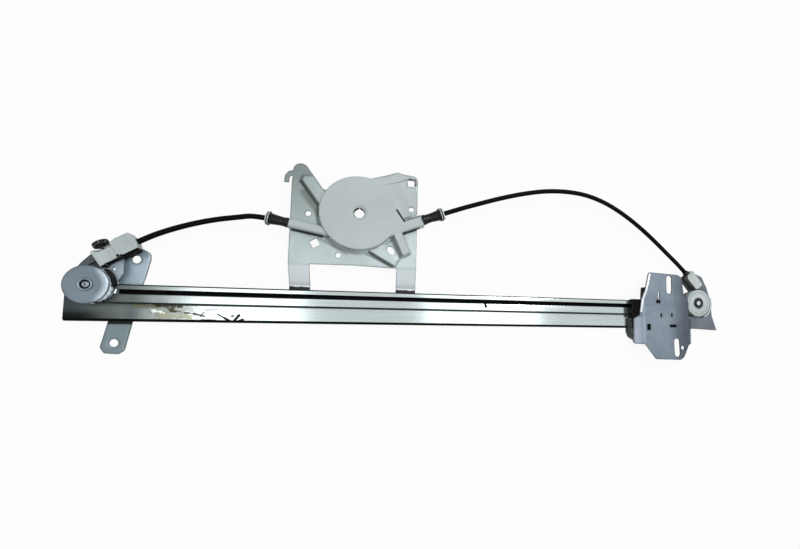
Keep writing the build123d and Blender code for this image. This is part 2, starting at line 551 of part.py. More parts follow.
# Cable drum: two grooves, runs on the housing collar, splined socket for the motor shaft
GROOVE = DRUM_WRAP - CABLE_R - CABLE_GAP
FLOOR, LIP = CABLE_R + CABLE_GAP, CABLE_R + GROOVE_LIP
with BuildPart() as cable_drum:
    with BuildSketch(Plane.XZ) as drum_half:
        with BuildLine() as drum_line:
            Polyline((SOCKET_R, DRUM_LOW), (DRUM_RIM, DRUM_LOW), (DRUM_RIM, Z_LEFT - LIP),
                     (GROOVE, Z_LEFT - FLOOR), (GROOVE, Z_LEFT + FLOOR), (DRUM_RIM, Z_LEFT + LIP),
                     (DRUM_RIM, Z_RIGHT - LIP), (GROOVE, Z_RIGHT - FLOOR), (GROOVE, Z_RIGHT + FLOOR),
                     (DRUM_RIM, Z_RIGHT + LIP), (DRUM_RIM, DRUM_HIGH), (COLLAR_R + RUN, DRUM_HIGH),
                     (COLLAR_R + RUN, SEAT_TOP + SOCKET_DEEP), (SOCKET_R, SEAT_TOP + SOCKET_DEEP), close=True)
        make_face()
    revolve(axis=Axis.Z)
    with Locations((0, 0, SEAT_TOP + 2.0)):
        with PolarLocations(SOCKET_R + 0.2, 4):
            Box(1.4, 1.4, 6, mode=Mode.SUBTRACT)
    with BuildSketch(Plane.XY.offset(Z_LEFT - 1.6)) as anchor:
        with Locations((16.0, 0), (-16.0, 0)):
            SlotOverall(9.0, 4.4, rotation=90)
    extrude(amount=10, mode=Mode.SUBTRACT)
cable_drum.part.label = "cable_drum"

with BuildPart() as drum_windings:
    with Locations((0, 0, Z_LEFT), (0, 0, Z_RIGHT)):
        Torus(DRUM_WRAP, CABLE_R)
drum_windings.part.label = "drum_windings"

# Housing screws: three identical thread-forming screws from the motor side
with BuildPart() as housing_screws:
    with Locations(put((0, 0), HOUSING_SCREWS, SEAT_TOP - SHEET - 0.9)):
        Cylinder(2.4, 1.8)
    with Locations(put((0, 0), HOUSING_SCREWS, SEAT_TOP + 1.0)):
        Cylinder(HOUSING_SCREW_R, 2 * SHEET + 2.0)
housing_screws.part.label = "housing_screws"

# Right end bracket: folded plate on the rail's deck that carries the right pulley and fitting
with BuildPart() as right_end_bracket:
    with BuildSketch(level(RAIL_DECK, RIGHT_END)) as end_shape:
        with BuildLine() as end_line:
            Polyline((-17.8, 32.0), (-7.3, 40.0), (-1.8, 37.5), (10.0, 33.2), (16.9, 20.0), (22.8, 1.3),
                     (23.7, -14.4), (30.3, -32.6), (-2.1, -31.0), (-18.3, -28.5), (-20.5, -17.0), (-19.5, 9.0),
                     (-15.5, 11.6), (-8.5, 14.4), (-18.4, 26.0), close=True)
        make_face()
    extrude(amount=SHEET)
    with BuildSketch(level(RAIL_BASE, RIGHT_END)) as end_foot:
        with BuildLine() as foot_line:
            Polyline((-2.3, -7.0), (22.2, -7.0), (23.7, -14.4), (29.7, -31.0), (-2.3, -31.0), close=True)
        make_face()
    extrude(amount=RAIL_DECK - RAIL_BASE)
    with BuildSketch(level(RAIL_BASE, RIGHT_END)) as end_hollow:
        with BuildLine() as hollow_line:
            Polyline((-3.3, -8.5), (20.7, -8.5), (22.2, -14.4), (27.6, -29.5), (-3.3, -29.5), close=True)
        make_face()
    extrude(amount=RAIL_DECK - RAIL_BASE, mode=Mode.SUBTRACT)
    with Locations((PULLEY_X_R, PULLEY_Y, RAIL_DECK)):
        Cylinder(AXLE_R, 8, mode=Mode.SUBTRACT)
    with Locations(put((0, 0), RIVETS, RAIL_DECK)):
        Cylinder(RIVET_R, 8, mode=Mode.SUBTRACT)
right_end_bracket.part.label = "right_end_bracket"

# Rail rivets: two identical ones, through the bracket and the rail's deck
with BuildPart() as rail_rivets:
    with Locations(put((0, 0), RIVETS, RAIL_DECK)):
        Cylinder(RIVET_R, 2 * SHEET + 2.0)
    with Locations(put((0, 0), RIVETS, RAIL_DECK + SHEET + 0.5)):
        Cylinder(2.8, 1.0)
    with Locations(put((0, 0), RIVETS, RAIL_DECK - SHEET - 0.5)):
        Cylinder(2.6, 1.0)
rail_rivets.part.label = "rail_rivets"

# Right axle: stepped pin with a tapped foot on the mounting plane
THREAD_R, THREAD_DEEP = 2.5, 5.0
with BuildPart() as right_axle:
    with Locations((PULLEY_X_R, PULLEY_Y, (RAIL_DECK - 1 + PULLEY_HALF) / 2)):
        Cylinder(AXLE_R, PULLEY_HALF - RAIL_DECK + 1)
    with Locations((PULLEY_X_R, PULLEY_Y, (Z_MOUNT + RAIL_DECK) / 2)):
        Cylinder(5.6, RAIL_DECK - Z_MOUNT)
    with Locations((PULLEY_X_R, PULLEY_Y, PULLEY_HALF - 1.0)):
        Cylinder(4.2, 0.8)
    with Locations((PULLEY_X_R, PULLEY_Y, Z_MOUNT + THREAD_DEEP / 2)):
        Cylinder(THREAD_R, THREAD_DEEP, mode=Mode.SUBTRACT)
right_axle.part.label = "right_axle"

# Right pulley: the same wheel with a dished front
DISH_FLOOR = PULLEY_HALF - 2.1
with BuildPart() as right_pulley:
    with BuildSketch(Plane.XZ) as wheel:
        with BuildLine() as wheel_line:
            Polyline((AXLE_R + RUN, -PULLEY_HALF), (PULLEY_RIM, -PULLEY_HALF), (PULLEY_RIM, -RIM_FLAT),
                     (PULLEY_FLOOR, -FLOOR_HALF), (PULLEY_FLOOR, FLOOR_HALF), (PULLEY_RIM, RIM_FLAT),
                     (PULLEY_RIM, PULLEY_HALF), (6.0, PULLEY_HALF - 1.2),
                     (5.2, DISH_FLOOR), (AXLE_R + RUN, DISH_FLOOR), close=True)
        make_face()
    revolve(axis=Axis.Z)
right_pulley.part = right_pulley.part.moved(Location((PULLEY_X_R, PULLEY_Y, Z_CABLE)))
right_pulley.part.label = "right_pulley"

# Right guard: pale curved wall beside the pulley
with BuildPart() as right_pulley_guard:
    with BuildSketch(Plane.XY.offset(BRACKET_TOP)) as guard_shape:
        with BuildLine() as guard_line:
            g1 = CenterArc(RIGHT_END, PULLEY_RIM + 1.1, -62, 84)
            g2 = CenterArc(RIGHT_END, PULLEY_RIM + 3.4, -62, 84)
            Line(g1 @ 0, g2 @ 0)
            Line(g1 @ 1, g2 @ 1)
        make_face()
    extrude(amount=Z_CABLE + 2.4 - BRACKET_TOP)
right_pulley_guard.part.label = "right_pulley_guard"

# Right cable fitting: pale socket block at the top of the bracket
with BuildPart() as right_cable_fitting:
    with BuildSketch(slab(along(TAN_R, FIT_R + 180, 0, 0, FIT_LOW), FIT_R + 180)) as fitting_shape:
        with BuildLine() as fitting_line:
            Polyline((12.6, -4.4), (14.5, -5.2), (33.4, -7.0), (34.4, 3.0), (31.0, 5.4), (15.2, 6.0),
                     (12.6, 3.0), close=True)
        make_face()
    extrude(amount=9.0)
    with BuildSketch(facing(along(TAN_R, FIT_R + 180, 10, 0, Z_CABLE), FIT_R + 180)) as cable_bore:
        Circle(LINER_R)
    extrude(amount=40, mode=Mode.SUBTRACT)
    with BuildSketch(facing(along(TAN_R, FIT_R + 180, 21.6, 0, Z_CABLE), FIT_R + 180)) as socket:
        Circle(CONDUIT_R + RUN)
    extrude(amount=25, mode=Mode.SUBTRACT)
right_cable_fitting.part.label = "right_cable_fitting"

# Black end sleeve on the right conduit where it enters its fitting
with BuildPart() as right_conduit_sleeve:
    with BuildSketch(facing(along(TAN_R, FIT_R + 180, 34.5, 0, Z_CABLE), FIT_R + 180)) as sleeve_shape:
        Circle(3.9)
    extrude(amount=3.6, taper=8)
    with BuildSketch(facing(along(TAN_R, FIT_R + 180, 32.0, 0, Z_CABLE), FIT_R + 180)) as sleeve_bore:
        Circle(CONDUIT_R)
    extrude(amount=8, mode=Mode.SUBTRACT)
right_conduit_sleeve.part.label = "right_conduit_sleeve"

# Carrier plate: pressed sheet with bent side wings, two glass-clamp slots and clip openings
SLOT_A, SLOT_B = (10.0, 35.1), (20.0, -38.7)
CLIP_TOP, CLIPS_LOW, CLAW_CLIP = (-4.6, 14.9), ((-0.7, -1.1), (13.3, -0.5)), (-17.0, -14.9)
with BuildPart() as carrier_plate:
    with BuildSketch(level(CARRIER_Z, PARK)) as carrier_shape:
        with BuildLine() as carrier_line:
            Polyline((-16.4, 49.0), (21.8, 47.4), (27.6, 44.2), (29.8, 23.9), (34.0, 19.9), (36.4, 14.9),
                     (36.4, -34.7), (29.6, -49.7), (25.1, -53.0), (-7.4, -52.1), (-21.6, -34.7),
                     (-21.6, -3.7), (-27.5, -1.4), (-26.2, 16.2), (-21.0, 28.2), close=True)
        make_face()
    extrude(amount=SHEET)
    with BuildSketch(across(SLIDER_MID, RUN_Y - 3.9, CARRIER_Z)) as wing_left:
        with BuildLine() as wing_line:
            Polyline((-19.8, SHEET), (-22.0, SHEET), (-33.4, -5.4), (-32.1, -6.1), (-21.2, 0), (-19.8, 0),
                     close=True)
        make_face()
    extrude(amount=30.4)
    with BuildSketch(across(SLIDER_MID, RUN_Y - 4.1, CARRIER_Z)) as wing_right:
        with BuildLine() as wing_line:
            Polyline((35.0, SHEET), (37.4, SHEET), (43.4, -4.8), (42.2, -5.5), (36.6, 0), (35.0, 0), close=True)
        make_face()
    extrude(amount=31.0)
    with BuildSketch(level(CARRIER_Z - 4, PARK)) as carrier_holes:
        with Locations(SLOT_A):
            SlotOverall(21.4, 7.2, rotation=90)
        with Locations(SLOT_B):
            SlotOverall(21.4, 7.4, rotation=93)
        with Locations((27.6, -38.9)):
            Circle(2.2)
        with Locations((-3.9, 23.1)):
            Rectangle(2.0, 8.0)
        with Locations(CLIP_TOP):
            Rectangle(5.6, 3.6)
        with Locations(CLIPS_LOW):
            Rectangle(1.8, 4.4)
        with Locations((14.9, -13.3)):
            Rectangle(8.6, 3.0)
        with Locations(CLAW_CLIP):
            Rectangle(4.6, 6.8)
    extrude(amount=8, mode=Mode.SUBTRACT)
carrier_plate.part.label = "carrier_plate"

# Slider: black plastic shoe on the rail, its hook in the rail's groove, the cable in its tunnel
SLIDER_FOOT, SLIDER_TOP = RUN_Y - 3.7, CARRIER_Z - 3.0
NIPPLE_R = 2.3
with BuildPart() as carrier_slider:
    with BuildSketch(Plane.YZ.offset(SLIDER_MID - SLIDER_TAIL)) as slider_end:
        with BuildLine() as slider_line:
            Polyline((SLIDER_FOOT, RAIL_DECK + SOFT), (RAIL_STEP + SLIDE_GAP, RAIL_DECK + SOFT),
                     (RAIL_STEP + SLIDE_GAP, RAIL_BASE + SHEET + SLIDE_GAP),
                     (RAIL_TOP - SHEET - SLIDE_PLAY, RAIL_BASE + SHEET + SLIDE_GAP),
                     (RAIL_TOP - SHEET - SLIDE_PLAY, RAIL_FRONT - SHEET - SLIDE_GAP),
                     (RAIL_LIP - SLIDE_PLAY, RAIL_FRONT - SHEET - SLIDE_GAP),
                     (RAIL_LIP - SLIDE_PLAY, RAIL_FRONT + SLIDE_GAP), (RAIL_TOP + 0.6, RAIL_FRONT + SLIDE_GAP),
                     (RAIL_TOP + 0.6, SLIDER_TOP), (SLIDER_FOOT, SLIDER_TOP), close=True)
        make_face()
    extrude(amount=SLIDER_TAIL + SLIDER_REACH)
    with BuildSketch(level(RAIL_FRONT + SLIDE_GAP, PARK)) as slider_tab:
        with BuildLine() as tab_line:
            Polyline((-22.4, 16.9), (-21.4, 31.5), (-8.0, 32.9), (-8.0, 16.9), close=True)
        make_face()
    extrude(amount=SLIDER_TOP - RAIL_FRONT - SLIDE_GAP)
    with BuildSketch(level(SLIDER_TOP, PARK)) as pads:
        with Locations((-14.0, 6.9), (6.0, 6.4), (24.0, 6.4)):
            Rectangle(10.0, 17.0)
    extrude(amount=CARRIER_Z - SLIDER_TOP)
    with BuildSketch(level(SLIDER_TOP, PARK)) as clips:
        with Locations(CLIP_TOP):
            Rectangle(5.0, 3.0)
        with Locations(CLIPS_LOW):
            Rectangle(1.4, 3.6)
    extrude(amount=CARRIER_Z + SHEET - SLIDER_TOP - 0.2)
    with BuildSketch(facing((SLIDER_MID - SLIDER_TAIL - 1, RUN_Y, Z_CABLE), 0)) as tunnel:
        Circle(CABLE_R + SOFT)
    extrude(amount=SLIDER_TAIL + SLIDER_REACH + 2, mode=Mode.SUBTRACT)
    with BuildSketch(facing((SLIDER_MID - NIPPLE - 1.0, RUN_Y, Z_CABLE), 0)) as pocket:
        Circle(NIPPLE_R + 0.1)
    extrude(amount=2 * NIPPLE + 2.0, mode=Mode.SUBTRACT)
carrier_slider.part.label = "carrier_slider"

# Slider claw: grey lower shoe that runs along the rail's bottom edge
CLAW_L, CLAW_R = -37.6, 16.0
CLAW_LOW, CLAW_TOP = RAIL_DECK - 4.1, CARRIER_Z - 6.6
with BuildPart() as slider_claw:
    with BuildSketch(level(CLAW_LOW, (SLIDER_MID, RAIL_FOOT))) as claw_shape:
        with BuildLine() as claw_line:
            Polyline((CLAW_L, -RUN), (CLAW_L, -4.4), (CLAW_L + 2.6, -10.4), (CLAW_L + 14.2, -17.2),
                     (CLAW_R, -17.2), (CLAW_R, -RUN), close=True)
        make_face()
    extrude(amount=RAIL_DECK + SOFT - CLAW_LOW)
    with BuildSketch(level(RAIL_DECK + SOFT, (SLIDER_MID, RAIL_FOOT))) as claw_top:
        with BuildLine() as claw_line:
            Polyline((CLAW_L, 11.8), (CLAW_L, -4.4), (CLAW_L + 2.6, -10.4), (CLAW_L + 14.2, -17.2),
                     (CLAW_R, -17.2), (CLAW_R, 11.8), close=True)
        make_face()
    extrude(amount=CLAW_TOP - RAIL_DECK - SOFT)
    with BuildSketch(level(CLAW_TOP, (SLIDER_MID, RAIL_FOOT))) as claw_pads:
        with Locations((-16.0, -3.0)):
            Rectangle(8.0, 22.0)
        with Locations((7.0, -3.0)):
            Rectangle(14.0, 22.0)
    extrude(amount=CARRIER_Z - CLAW_TOP)
    with BuildSketch(level(CARRIER_Z, PARK)) as claw_clip:
        with Locations(CLAW_CLIP):
            Rectangle(4.0, 6.2)
        with Locations((12.3, -13.3)):
            Rectangle(3.0, 2.4)
    extrude(amount=SHEET - 0.2)
slider_claw.part.label = "slider_claw"

# Cable nipples: two identical crimped barrels held in the slider
with BuildPart() as cable_nipples:
    for start in (-NIPPLE_GAP - NIPPLE, NIPPLE_GAP):
        with BuildSketch(facing((SLIDER_MID + start, RUN_Y, Z_CABLE), 0)) as barrel:
            Circle(NIPPLE_R)
            Circle(CABLE_R + CABLE_GAP, mode=Mode.SUBTRACT)
        extrude(amount=NIPPLE)
cable_nipples.part.label = "cable_nipples"

PARTS = (guide_rail, left_mount_strap, left_pulley_bracket, left_axle, left_pulley, left_pulley_cover,
         left_cable_guard, left_cable_fitting, left_fitting_button, left_conduit, right_conduit,
         left_inner_cable, right_inner_cable, left_cable_boot, right_cable_boot, left_conduit_ring,
         right_conduit_ring, drive_plate, drum_housing, left_tension_spring, right_tension_spring,
         cable_drum, drum_windings, housing_screws, right_end_bracket, rail_rivets, right_axle,
         right_pulley, right_pulley_guard, right_cable_fitting, right_conduit_sleeve, carrier_plate,
         carrier_slider, slider_claw, cable_nipples)
for item in PARTS:
    solids = item.part.solids()
    print(item.part.label, "solids", len(solids), "volume", round(item.part.volume, 1), item.part.is_valid)
    if len(solids) > 1:
        print("   pieces at", [tuple(round(v, 1) for v in q.center()) for q in solids])
    export_step(item.part, "parts/" + item.part.label + ".step")
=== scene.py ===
# %% [markdown]
# # A cable window regulator, dressed for its picture
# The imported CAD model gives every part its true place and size. This script
# loads it, gives each part the finish of the real one, and swaps the plainest
# solids for pressed, moulded and rounded meshes. Everything is in metres.

# %% Load the frame
import json
import math
import bmesh
import bpy
import numpy as np
from mathutils import Matrix, Vector

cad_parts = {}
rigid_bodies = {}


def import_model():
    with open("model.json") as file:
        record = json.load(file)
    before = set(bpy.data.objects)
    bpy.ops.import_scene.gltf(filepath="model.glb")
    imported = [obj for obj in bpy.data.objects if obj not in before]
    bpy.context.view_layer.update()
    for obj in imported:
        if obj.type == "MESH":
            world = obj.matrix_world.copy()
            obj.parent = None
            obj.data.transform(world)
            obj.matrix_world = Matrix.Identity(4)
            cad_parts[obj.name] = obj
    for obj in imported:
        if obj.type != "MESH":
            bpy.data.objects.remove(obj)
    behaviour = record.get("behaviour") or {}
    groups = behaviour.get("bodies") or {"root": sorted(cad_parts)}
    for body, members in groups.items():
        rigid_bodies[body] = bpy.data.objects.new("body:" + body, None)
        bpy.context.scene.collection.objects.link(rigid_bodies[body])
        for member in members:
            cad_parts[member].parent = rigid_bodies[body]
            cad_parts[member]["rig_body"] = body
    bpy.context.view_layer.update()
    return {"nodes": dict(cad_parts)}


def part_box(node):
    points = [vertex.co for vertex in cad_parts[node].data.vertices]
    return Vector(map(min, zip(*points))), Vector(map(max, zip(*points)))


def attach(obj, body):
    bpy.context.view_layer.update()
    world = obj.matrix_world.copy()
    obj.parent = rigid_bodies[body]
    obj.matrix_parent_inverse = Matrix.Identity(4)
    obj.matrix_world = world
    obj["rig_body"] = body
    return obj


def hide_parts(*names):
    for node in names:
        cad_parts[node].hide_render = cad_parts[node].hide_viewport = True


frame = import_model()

MM = 0.001
NODES = frame["nodes"]

# %% [markdown]
# ## The camera
# The picture was taken from close by, so the far end of the rail looks smaller
# than the near one. Three angles, a place and a focal length give the same
# view. The lens axis does not meet the middle of the picture, which Blender
# says with a shift. The best match wants a larger one: this one is held just
# small enough for the whole part to stay in the frame from other sides too.

# %% Camera
VIEW_POSITION = Vector((36.61, -117.69, 496.55)) * MM
YAW, PITCH, ROLL = (math.radians(a) for a in (16.397, 4.479, 0.456))
FRAME_W, FRAME_H = 800, 549
FOCAL_PX = 472.53
AXIS_PX = (534.0, 297.6)
SENSOR_MM = 36.0
NEAREST, FARTHEST = 0.01, 20.0


def placed(name, data):
    """A new object in the scene that carries a mesh, a curve, a lamp or a camera."""
    obj = bpy.data.objects.new(name, data)
    bpy.context.scene.collection.objects.link(obj)
    return obj


def make_camera():
    ahead = Vector((math.sin(YAW) * math.cos(PITCH), math.sin(PITCH), -math.cos(YAW) * math.cos(PITCH)))
    level_right = ahead.cross(Vector((0, 1, 0))).normalized()
    level_up = level_right.cross(ahead)
    right = level_right * math.cos(ROLL) + level_up * math.sin(ROLL)
    up = level_up * math.cos(ROLL) - level_right * math.sin(ROLL)
    data = bpy.data.cameras.new("camera")
    camera = placed("camera", data)
    turn = Matrix((right, up, -ahead)).transposed().to_4x4()
    camera.matrix_world = Matrix.Translation(VIEW_POSITION) @ turn
    data.sensor_fit = "HORIZONTAL"
    data.sensor_width = SENSOR_MM
    data.lens = SENSOR_MM * FOCAL_PX / FRAME_W
    data.shift_x = (FRAME_W / 2 - AXIS_PX[0]) / FRAME_W
    data.shift_y = (AXIS_PX[1] - FRAME_H / 2) / FRAME_W
    data.clip_start, data.clip_end = NEAREST, FARTHEST
    bpy.context.scene.camera = camera
    return camera


camera = make_camera()
print("camera lens, mm:", round(camera.data.lens, 2))

# %% [markdown]
# ## Helpers for meshes
# Most parts are sheet metal or mouldings. An outline with rounded corners,
# pushed up into a prism, is the start of nearly all of them, and a lathe turns
# the round ones.


# %% Outlines
NEARLY_HALF = 0.49
TINY = 1e-6


def rounded(corners, radii, steps=5):
    """A closed outline whose corners are rounded by arcs of the given radii."""
    count = len(corners)
    radii = radii if hasattr(radii, "__len__") else [radii] * count
    points = []
    for i, radius in enumerate(radii):
        here = Vector(corners[i])
        back = Vector(corners[i - 1]) - here
        on = Vector(corners[(i + 1) % count]) - here
        half = back.angle(on) / 2
        room = NEARLY_HALF * min(back.length, on.length)
        reach = min(radius / math.tan(half), room) if radius > 0 else 0
        if reach < TINY:
            points.append(here)
            continue
        start, end = here + back.normalized() * reach, here + on.normalized() * reach
        true_radius = reach * math.tan(half)
        middle = here + (back.normalized() + on.normalized()).normalized() * (true_radius / math.sin(half))
        a0, sweep = start - middle, (start - middle).angle_signed(end - middle)
        for k in range(steps + 1):
            turn = -sweep * k / steps
            c, s = math.cos(turn), math.sin(turn)
            points.append(middle + Vector((a0.x * c - a0.y * s, a0.x * s + a0.y * c)))
    return points


def ring(at, radius, count=48):
    turns = [2 * math.pi * k / count for k in range(count)]
    return [Vector((at[0] + radius * math.cos(a), at[1] + radius * math.sin(a))) for a in turns]


print("a rounded square has points:", len(rounded([(0, 0), (9, 0), (9, 9), (0, 9)], 2)))

# %% [markdown]
# ## Prisms and pieces
# bmesh fills an outline and its holes with triangles, and an extrude pushes them
# up into a closed solid. Everything is drawn in millimetres and shrunk to metres
# at the last moment, when it becomes a piece that rides on its CAD body.


# %% Prisms and pieces
def closed_mesh(bm, name):
    """Turns a bmesh into a mesh, with its normals out."""
    bmesh.ops.recalc_face_normals(bm, faces=bm.faces)
    mesh = bpy.data.meshes.new(name)
    bm.to_mesh(mesh)
    bm.free()
    return mesh


def prism(outline, z0, z1, holes=()):
    """A closed solid mesh between two heights, with holes right through it."""
    bm = bmesh.new()
    edges = []
    for loop in (outline, *holes):
        verts = [bm.verts.new((p[0], p[1], z0)) for p in loop]
        edges += [bm.edges.new((verts[i - 1], verts[i])) for i in range(len(verts))]
    bmesh.ops.triangle_fill(bm, use_beauty=True, use_dissolve=False, edges=edges)
    pushed = bmesh.ops.extrude_face_region(bm, geom=bm.faces[:])
    for v in pushed["geom"]:
        if isinstance(v, bmesh.types.BMVert):
            v.co.z = z1
    return closed_mesh(bm, "prism")


def piece(name, mesh, node, replaces=()):
    """Puts a mesh given in millimetres into the scene, riding on the body of a CAD node."""
    mesh.name = name
    mesh.transform(Matrix.Scale(MM, 4))
    obj = placed(name, mesh)
    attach(obj, NODES[node]["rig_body"])
    if replaces:
        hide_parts(*replaces)
    return obj


def smooth(obj, angle=35):
    obj.data.polygons.foreach_set("use_smooth", [True] * len(obj.data.polygons))
    obj.data.set_sharp_from_angle(angle=math.radians(angle))


# %% [markdown]
# ## The lathe and the cutter
# Pulleys, rivet, button and boots are round, so they come off a lathe: a profile
# of radius and height turned about an axis. The Screw modifier could do it too,
# but plain loops of vertices leave nothing to apply. Holes and bores are cut
# with the Boolean modifier, and its result is kept as a plain mesh.

# %% Lathe and cutter
MERGE_MM = 1e-4


def lathe(profile, count=72):
    """Turns a closed profile of (radius, height) about Z."""
    bm = bmesh.new()
    loops = [[bm.verts.new((*p, height)) for p in ring((0, 0), radius, count)] for radius, height in profile]
    for i in range(len(loops)):
        for k in range(count):
            bm.faces.new((loops[i - 1][k - 1], loops[i - 1][k], loops[i][k], loops[i][k - 1]))
    bmesh.ops.remove_doubles(bm, verts=bm.verts, dist=MERGE_MM)
    return closed_mesh(bm, "lathe")


def aimed(mesh, origin, direction=(0, 0, 1)):
    """Moves a mesh from the zero to an origin and turns its Z along a direction."""
    turn = Vector(direction).to_track_quat("Z", "X").to_matrix().to_4x4()
    mesh.transform(Matrix.Translation(Vector(origin)) @ turn)
    return mesh


def final_mesh(obj):
    """What an object looks like after its modifiers, as a plain mesh."""
    return bpy.data.meshes.new_from_object(obj.evaluated_get(bpy.context.evaluated_depsgraph_get()))


def combined(mesh, others, operation):
    """Booleans of closed meshes, one after the other."""
    helpers = [placed("helper", m) for m in (mesh, *others)]
    for other in helpers[1:]:
        cut = helpers[0].modifiers.new("cut", "BOOLEAN")
        cut.operation, cut.solver, cut.object = operation, "MANIFOLD", other
    bpy.context.view_layer.update()
    made = final_mesh(helpers[0])
    for helper in helpers:
        bpy.data.objects.remove(helper)
    return made


def box(low, high):
    (x0, y0, z0), (x1, y1, z1) = low, high
    return prism([(x0, y0), (x1, y0), (x1, y1), (x0, y1)], z0, z1)


# %% [markdown]
# ## Distances and slopes
# A press turns flat sheet into raised seats, ribs and bent wings, and every wall
# it makes is a slope with soft corners. So the height of the sheet can be worked
# out at any point from its distance to simple shapes: a polygon, a circle, a
# line. Numpy does that for a whole grid of points at once.

# %% Distances and slopes
FAR = 1e9


def to_polygon(x, y, corners):
    """Distance to a closed polygon, negative inside it."""
    best = np.full(x.shape, FAR)
    inside = np.zeros(x.shape, bool)
    for i in range(len(corners)):
        (ax, ay), (bx, by) = corners[i - 1], corners[i]
        ex, ey = bx - ax, by - ay
        t = np.clip(((x - ax) * ex + (y - ay) * ey) / (ex * ex + ey * ey), 0, 1)
        best = np.minimum(best, np.hypot(x - ax - t * ex, y - ay - t * ey))
        crosses = (ay > y) != (by > y)
        with np.errstate(divide="ignore", invalid="ignore"):
            at = ax + (y - ay) / np.where(by == ay, 1e-9, by - ay) * ex
        inside ^= crosses & (x < at)
    return np.where(inside, -best, best)


def to_circle(x, y, at, radius):
    return np.hypot(x - at[0], y - at[1]) - radius


def slope(distance, width):
    """1 inside a shape, 0 outside, with a soft S over the width of the slope."""
    t = np.clip(0.5 - distance / width, 0, 1)
    return t * t * (3 - 2 * t)


def bend(distance, width):
    """0 before a fold and the distance past it, with a soft bend of that width."""
    soft = np.clip(distance + width, 0, 2 * width)
    return np.where(distance > width, distance, soft * soft / (4 * width))


def on_line(origin, degrees, s, off=0.0):
    """A point a distance along a line and beside it."""
    a = math.radians(degrees)
    return Vector((origin[0] + s * math.cos(a) - off * math.sin(a),
                   origin[1] + s * math.sin(a) + off * math.cos(a)))


def strip(origin, degrees, s0, s1, off0, off1):
    return [on_line(origin, degrees, s, off) for s, off in ((s0, off0), (s1, off0), (s1, off1), (s0, off1))]


def beside(x, y, origin, degrees):
    """How far along a line and how far beside it the points of a grid are."""
    a = math.radians(degrees)
    dx, dy = x - origin[0], y - origin[1]
    return dx * math.cos(a) + dy * math.sin(a), -dx * math.sin(a) + dy * math.cos(a)


# %% [markdown]
# ## Pressed sheet
# A fine grid takes the height of the sheet, a second grid under it is its back,
# and the two are joined round the rim. The true outline then cuts the part out
# of this slab with a Boolean, which keeps the edges crisp however coarse the
# grid is.

# %% Pressed sheet
MARGIN, CUT_BEYOND = 2, 5
EDGE_SOFT = 0.6


def height_slab(low, high, cell, top, under):
    """A closed block between two height maps over a rectangle."""
    nx, ny = int((high[0] - low[0]) / cell) + 2, int((high[1] - low[1]) / cell) + 2
    gx, gy = np.meshgrid(low[0] + np.arange(nx) * cell, low[1] + np.arange(ny) * cell)
    front_z = top(gx, gy)
    back_z = under(gx, gy, front_z)
    front = np.stack([gx, gy, front_z], -1).reshape(-1, 3)
    back = np.stack([gx, gy, back_z], -1).reshape(-1, 3)
    n = nx * ny
    a = (np.arange(ny - 1)[:, None] * nx + np.arange(nx - 1)[None, :]).reshape(-1)
    faces = np.concatenate([np.stack([a, a + 1, a + nx + 1, a + nx], -1),
                            np.stack([n + a, n + a + nx, n + a + nx + 1, n + a + 1], -1)]).tolist()
    rim = (list(range(nx)) + [j * nx + nx - 1 for j in range(1, ny)]
           + [(ny - 1) * nx + i for i in range(nx - 2, -1, -1)] + [j * nx for j in range(ny - 2, 0, -1)])
    faces += [(rim[k], rim[k - 1], n + rim[k - 1], n + rim[k]) for k in range(len(rim))]
    mesh = bpy.data.meshes.new("slab")
    mesh.from_pydata(np.concatenate([front, back]).tolist(), [], faces)
    return mesh, float(back_z.min()) - CUT_BEYOND, float(front_z.max()) + CUT_BEYOND


def pressed(name, outlines, holes, top, node, thick=None, under=None, cell=0.7, cuts=(), edge=0.0, angle=40):
    """Sheet or moulding with those outlines, holes and height map, cut out by Booleans."""
    xs = [p[0] for outline in outlines for p in outline]
    ys = [p[1] for outline in outlines for p in outline]
    drop = top
    if edge:
        def drop(x, y):
            inside = -to_polygon(x, y, outlines[0])
            return top(x, y) - edge * (1 - slope(EDGE_SOFT - inside, 2 * EDGE_SOFT))
    lower = under or (lambda x, y, z: z - thick)
    low, high = (min(xs) - MARGIN, min(ys) - MARGIN), (max(xs) + MARGIN, max(ys) + MARGIN)
    slab, z0, z1 = height_slab(low, high, cell, drop, lower)
    prisms = [prism(outline, z0, z1, holes if len(outlines) == 1 else ()) for outline in outlines]
    cutter = prisms[0] if len(prisms) == 1 else combined(prisms[0], prisms[1:], "UNION")
    made = combined(slab, [cutter], "INTERSECT")
    drills = [prism(hole, z0, z1) for hole in holes] if len(outlines) > 1 else []
    if drills or cuts:
        made = combined(made, [*drills, *cuts], "DIFFERENCE")
    obj = piece(name, made, node, replaces=[node])
    smooth(obj, angle)
    print(name, "faces:", len(made.polygons))
    return obj


# %% [markdown]
# ## The guide rail
# The real rail is one strip of zinc-plated steel, rolled into a channel and a
# flat. A section with a true bend radius at every fold, pushed along the rail,
# gives the long soft highlights that a square section cannot. The channel is
# cut back at both ends to clear the pulleys.

# %% Guide rail
SHEET_MM = 1.5
RAIL_LOW, RAIL_HIGH = (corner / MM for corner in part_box("guide_rail"))
LEFT_AT, RIGHT_AT = (sum(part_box(node), Vector()) / 2 / MM for node in ("left_pulley", "right_pulley"))
WHEEL_R = (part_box("left_pulley")[1].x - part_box("left_pulley")[0].x) / 2 / MM
DECK_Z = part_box("left_pulley_bracket")[0].z / MM
RUN_Y = LEFT_AT.y - WHEEL_R + 1.3
RAIL_LIP_Y, RAIL_STEP_Y = RAIL_HIGH.y - 4.6, RAIL_HIGH.y - 8.1
CHANNEL_ENDS = (LEFT_AT.x + WHEEL_R + 1.5, RIGHT_AT.x - WHEEL_R - 5.6)
RIVET_AT = ((RIGHT_AT.x - 10.3, RUN_Y - 4.1), (RIGHT_AT.x - 10.3, RUN_Y - 11.1))


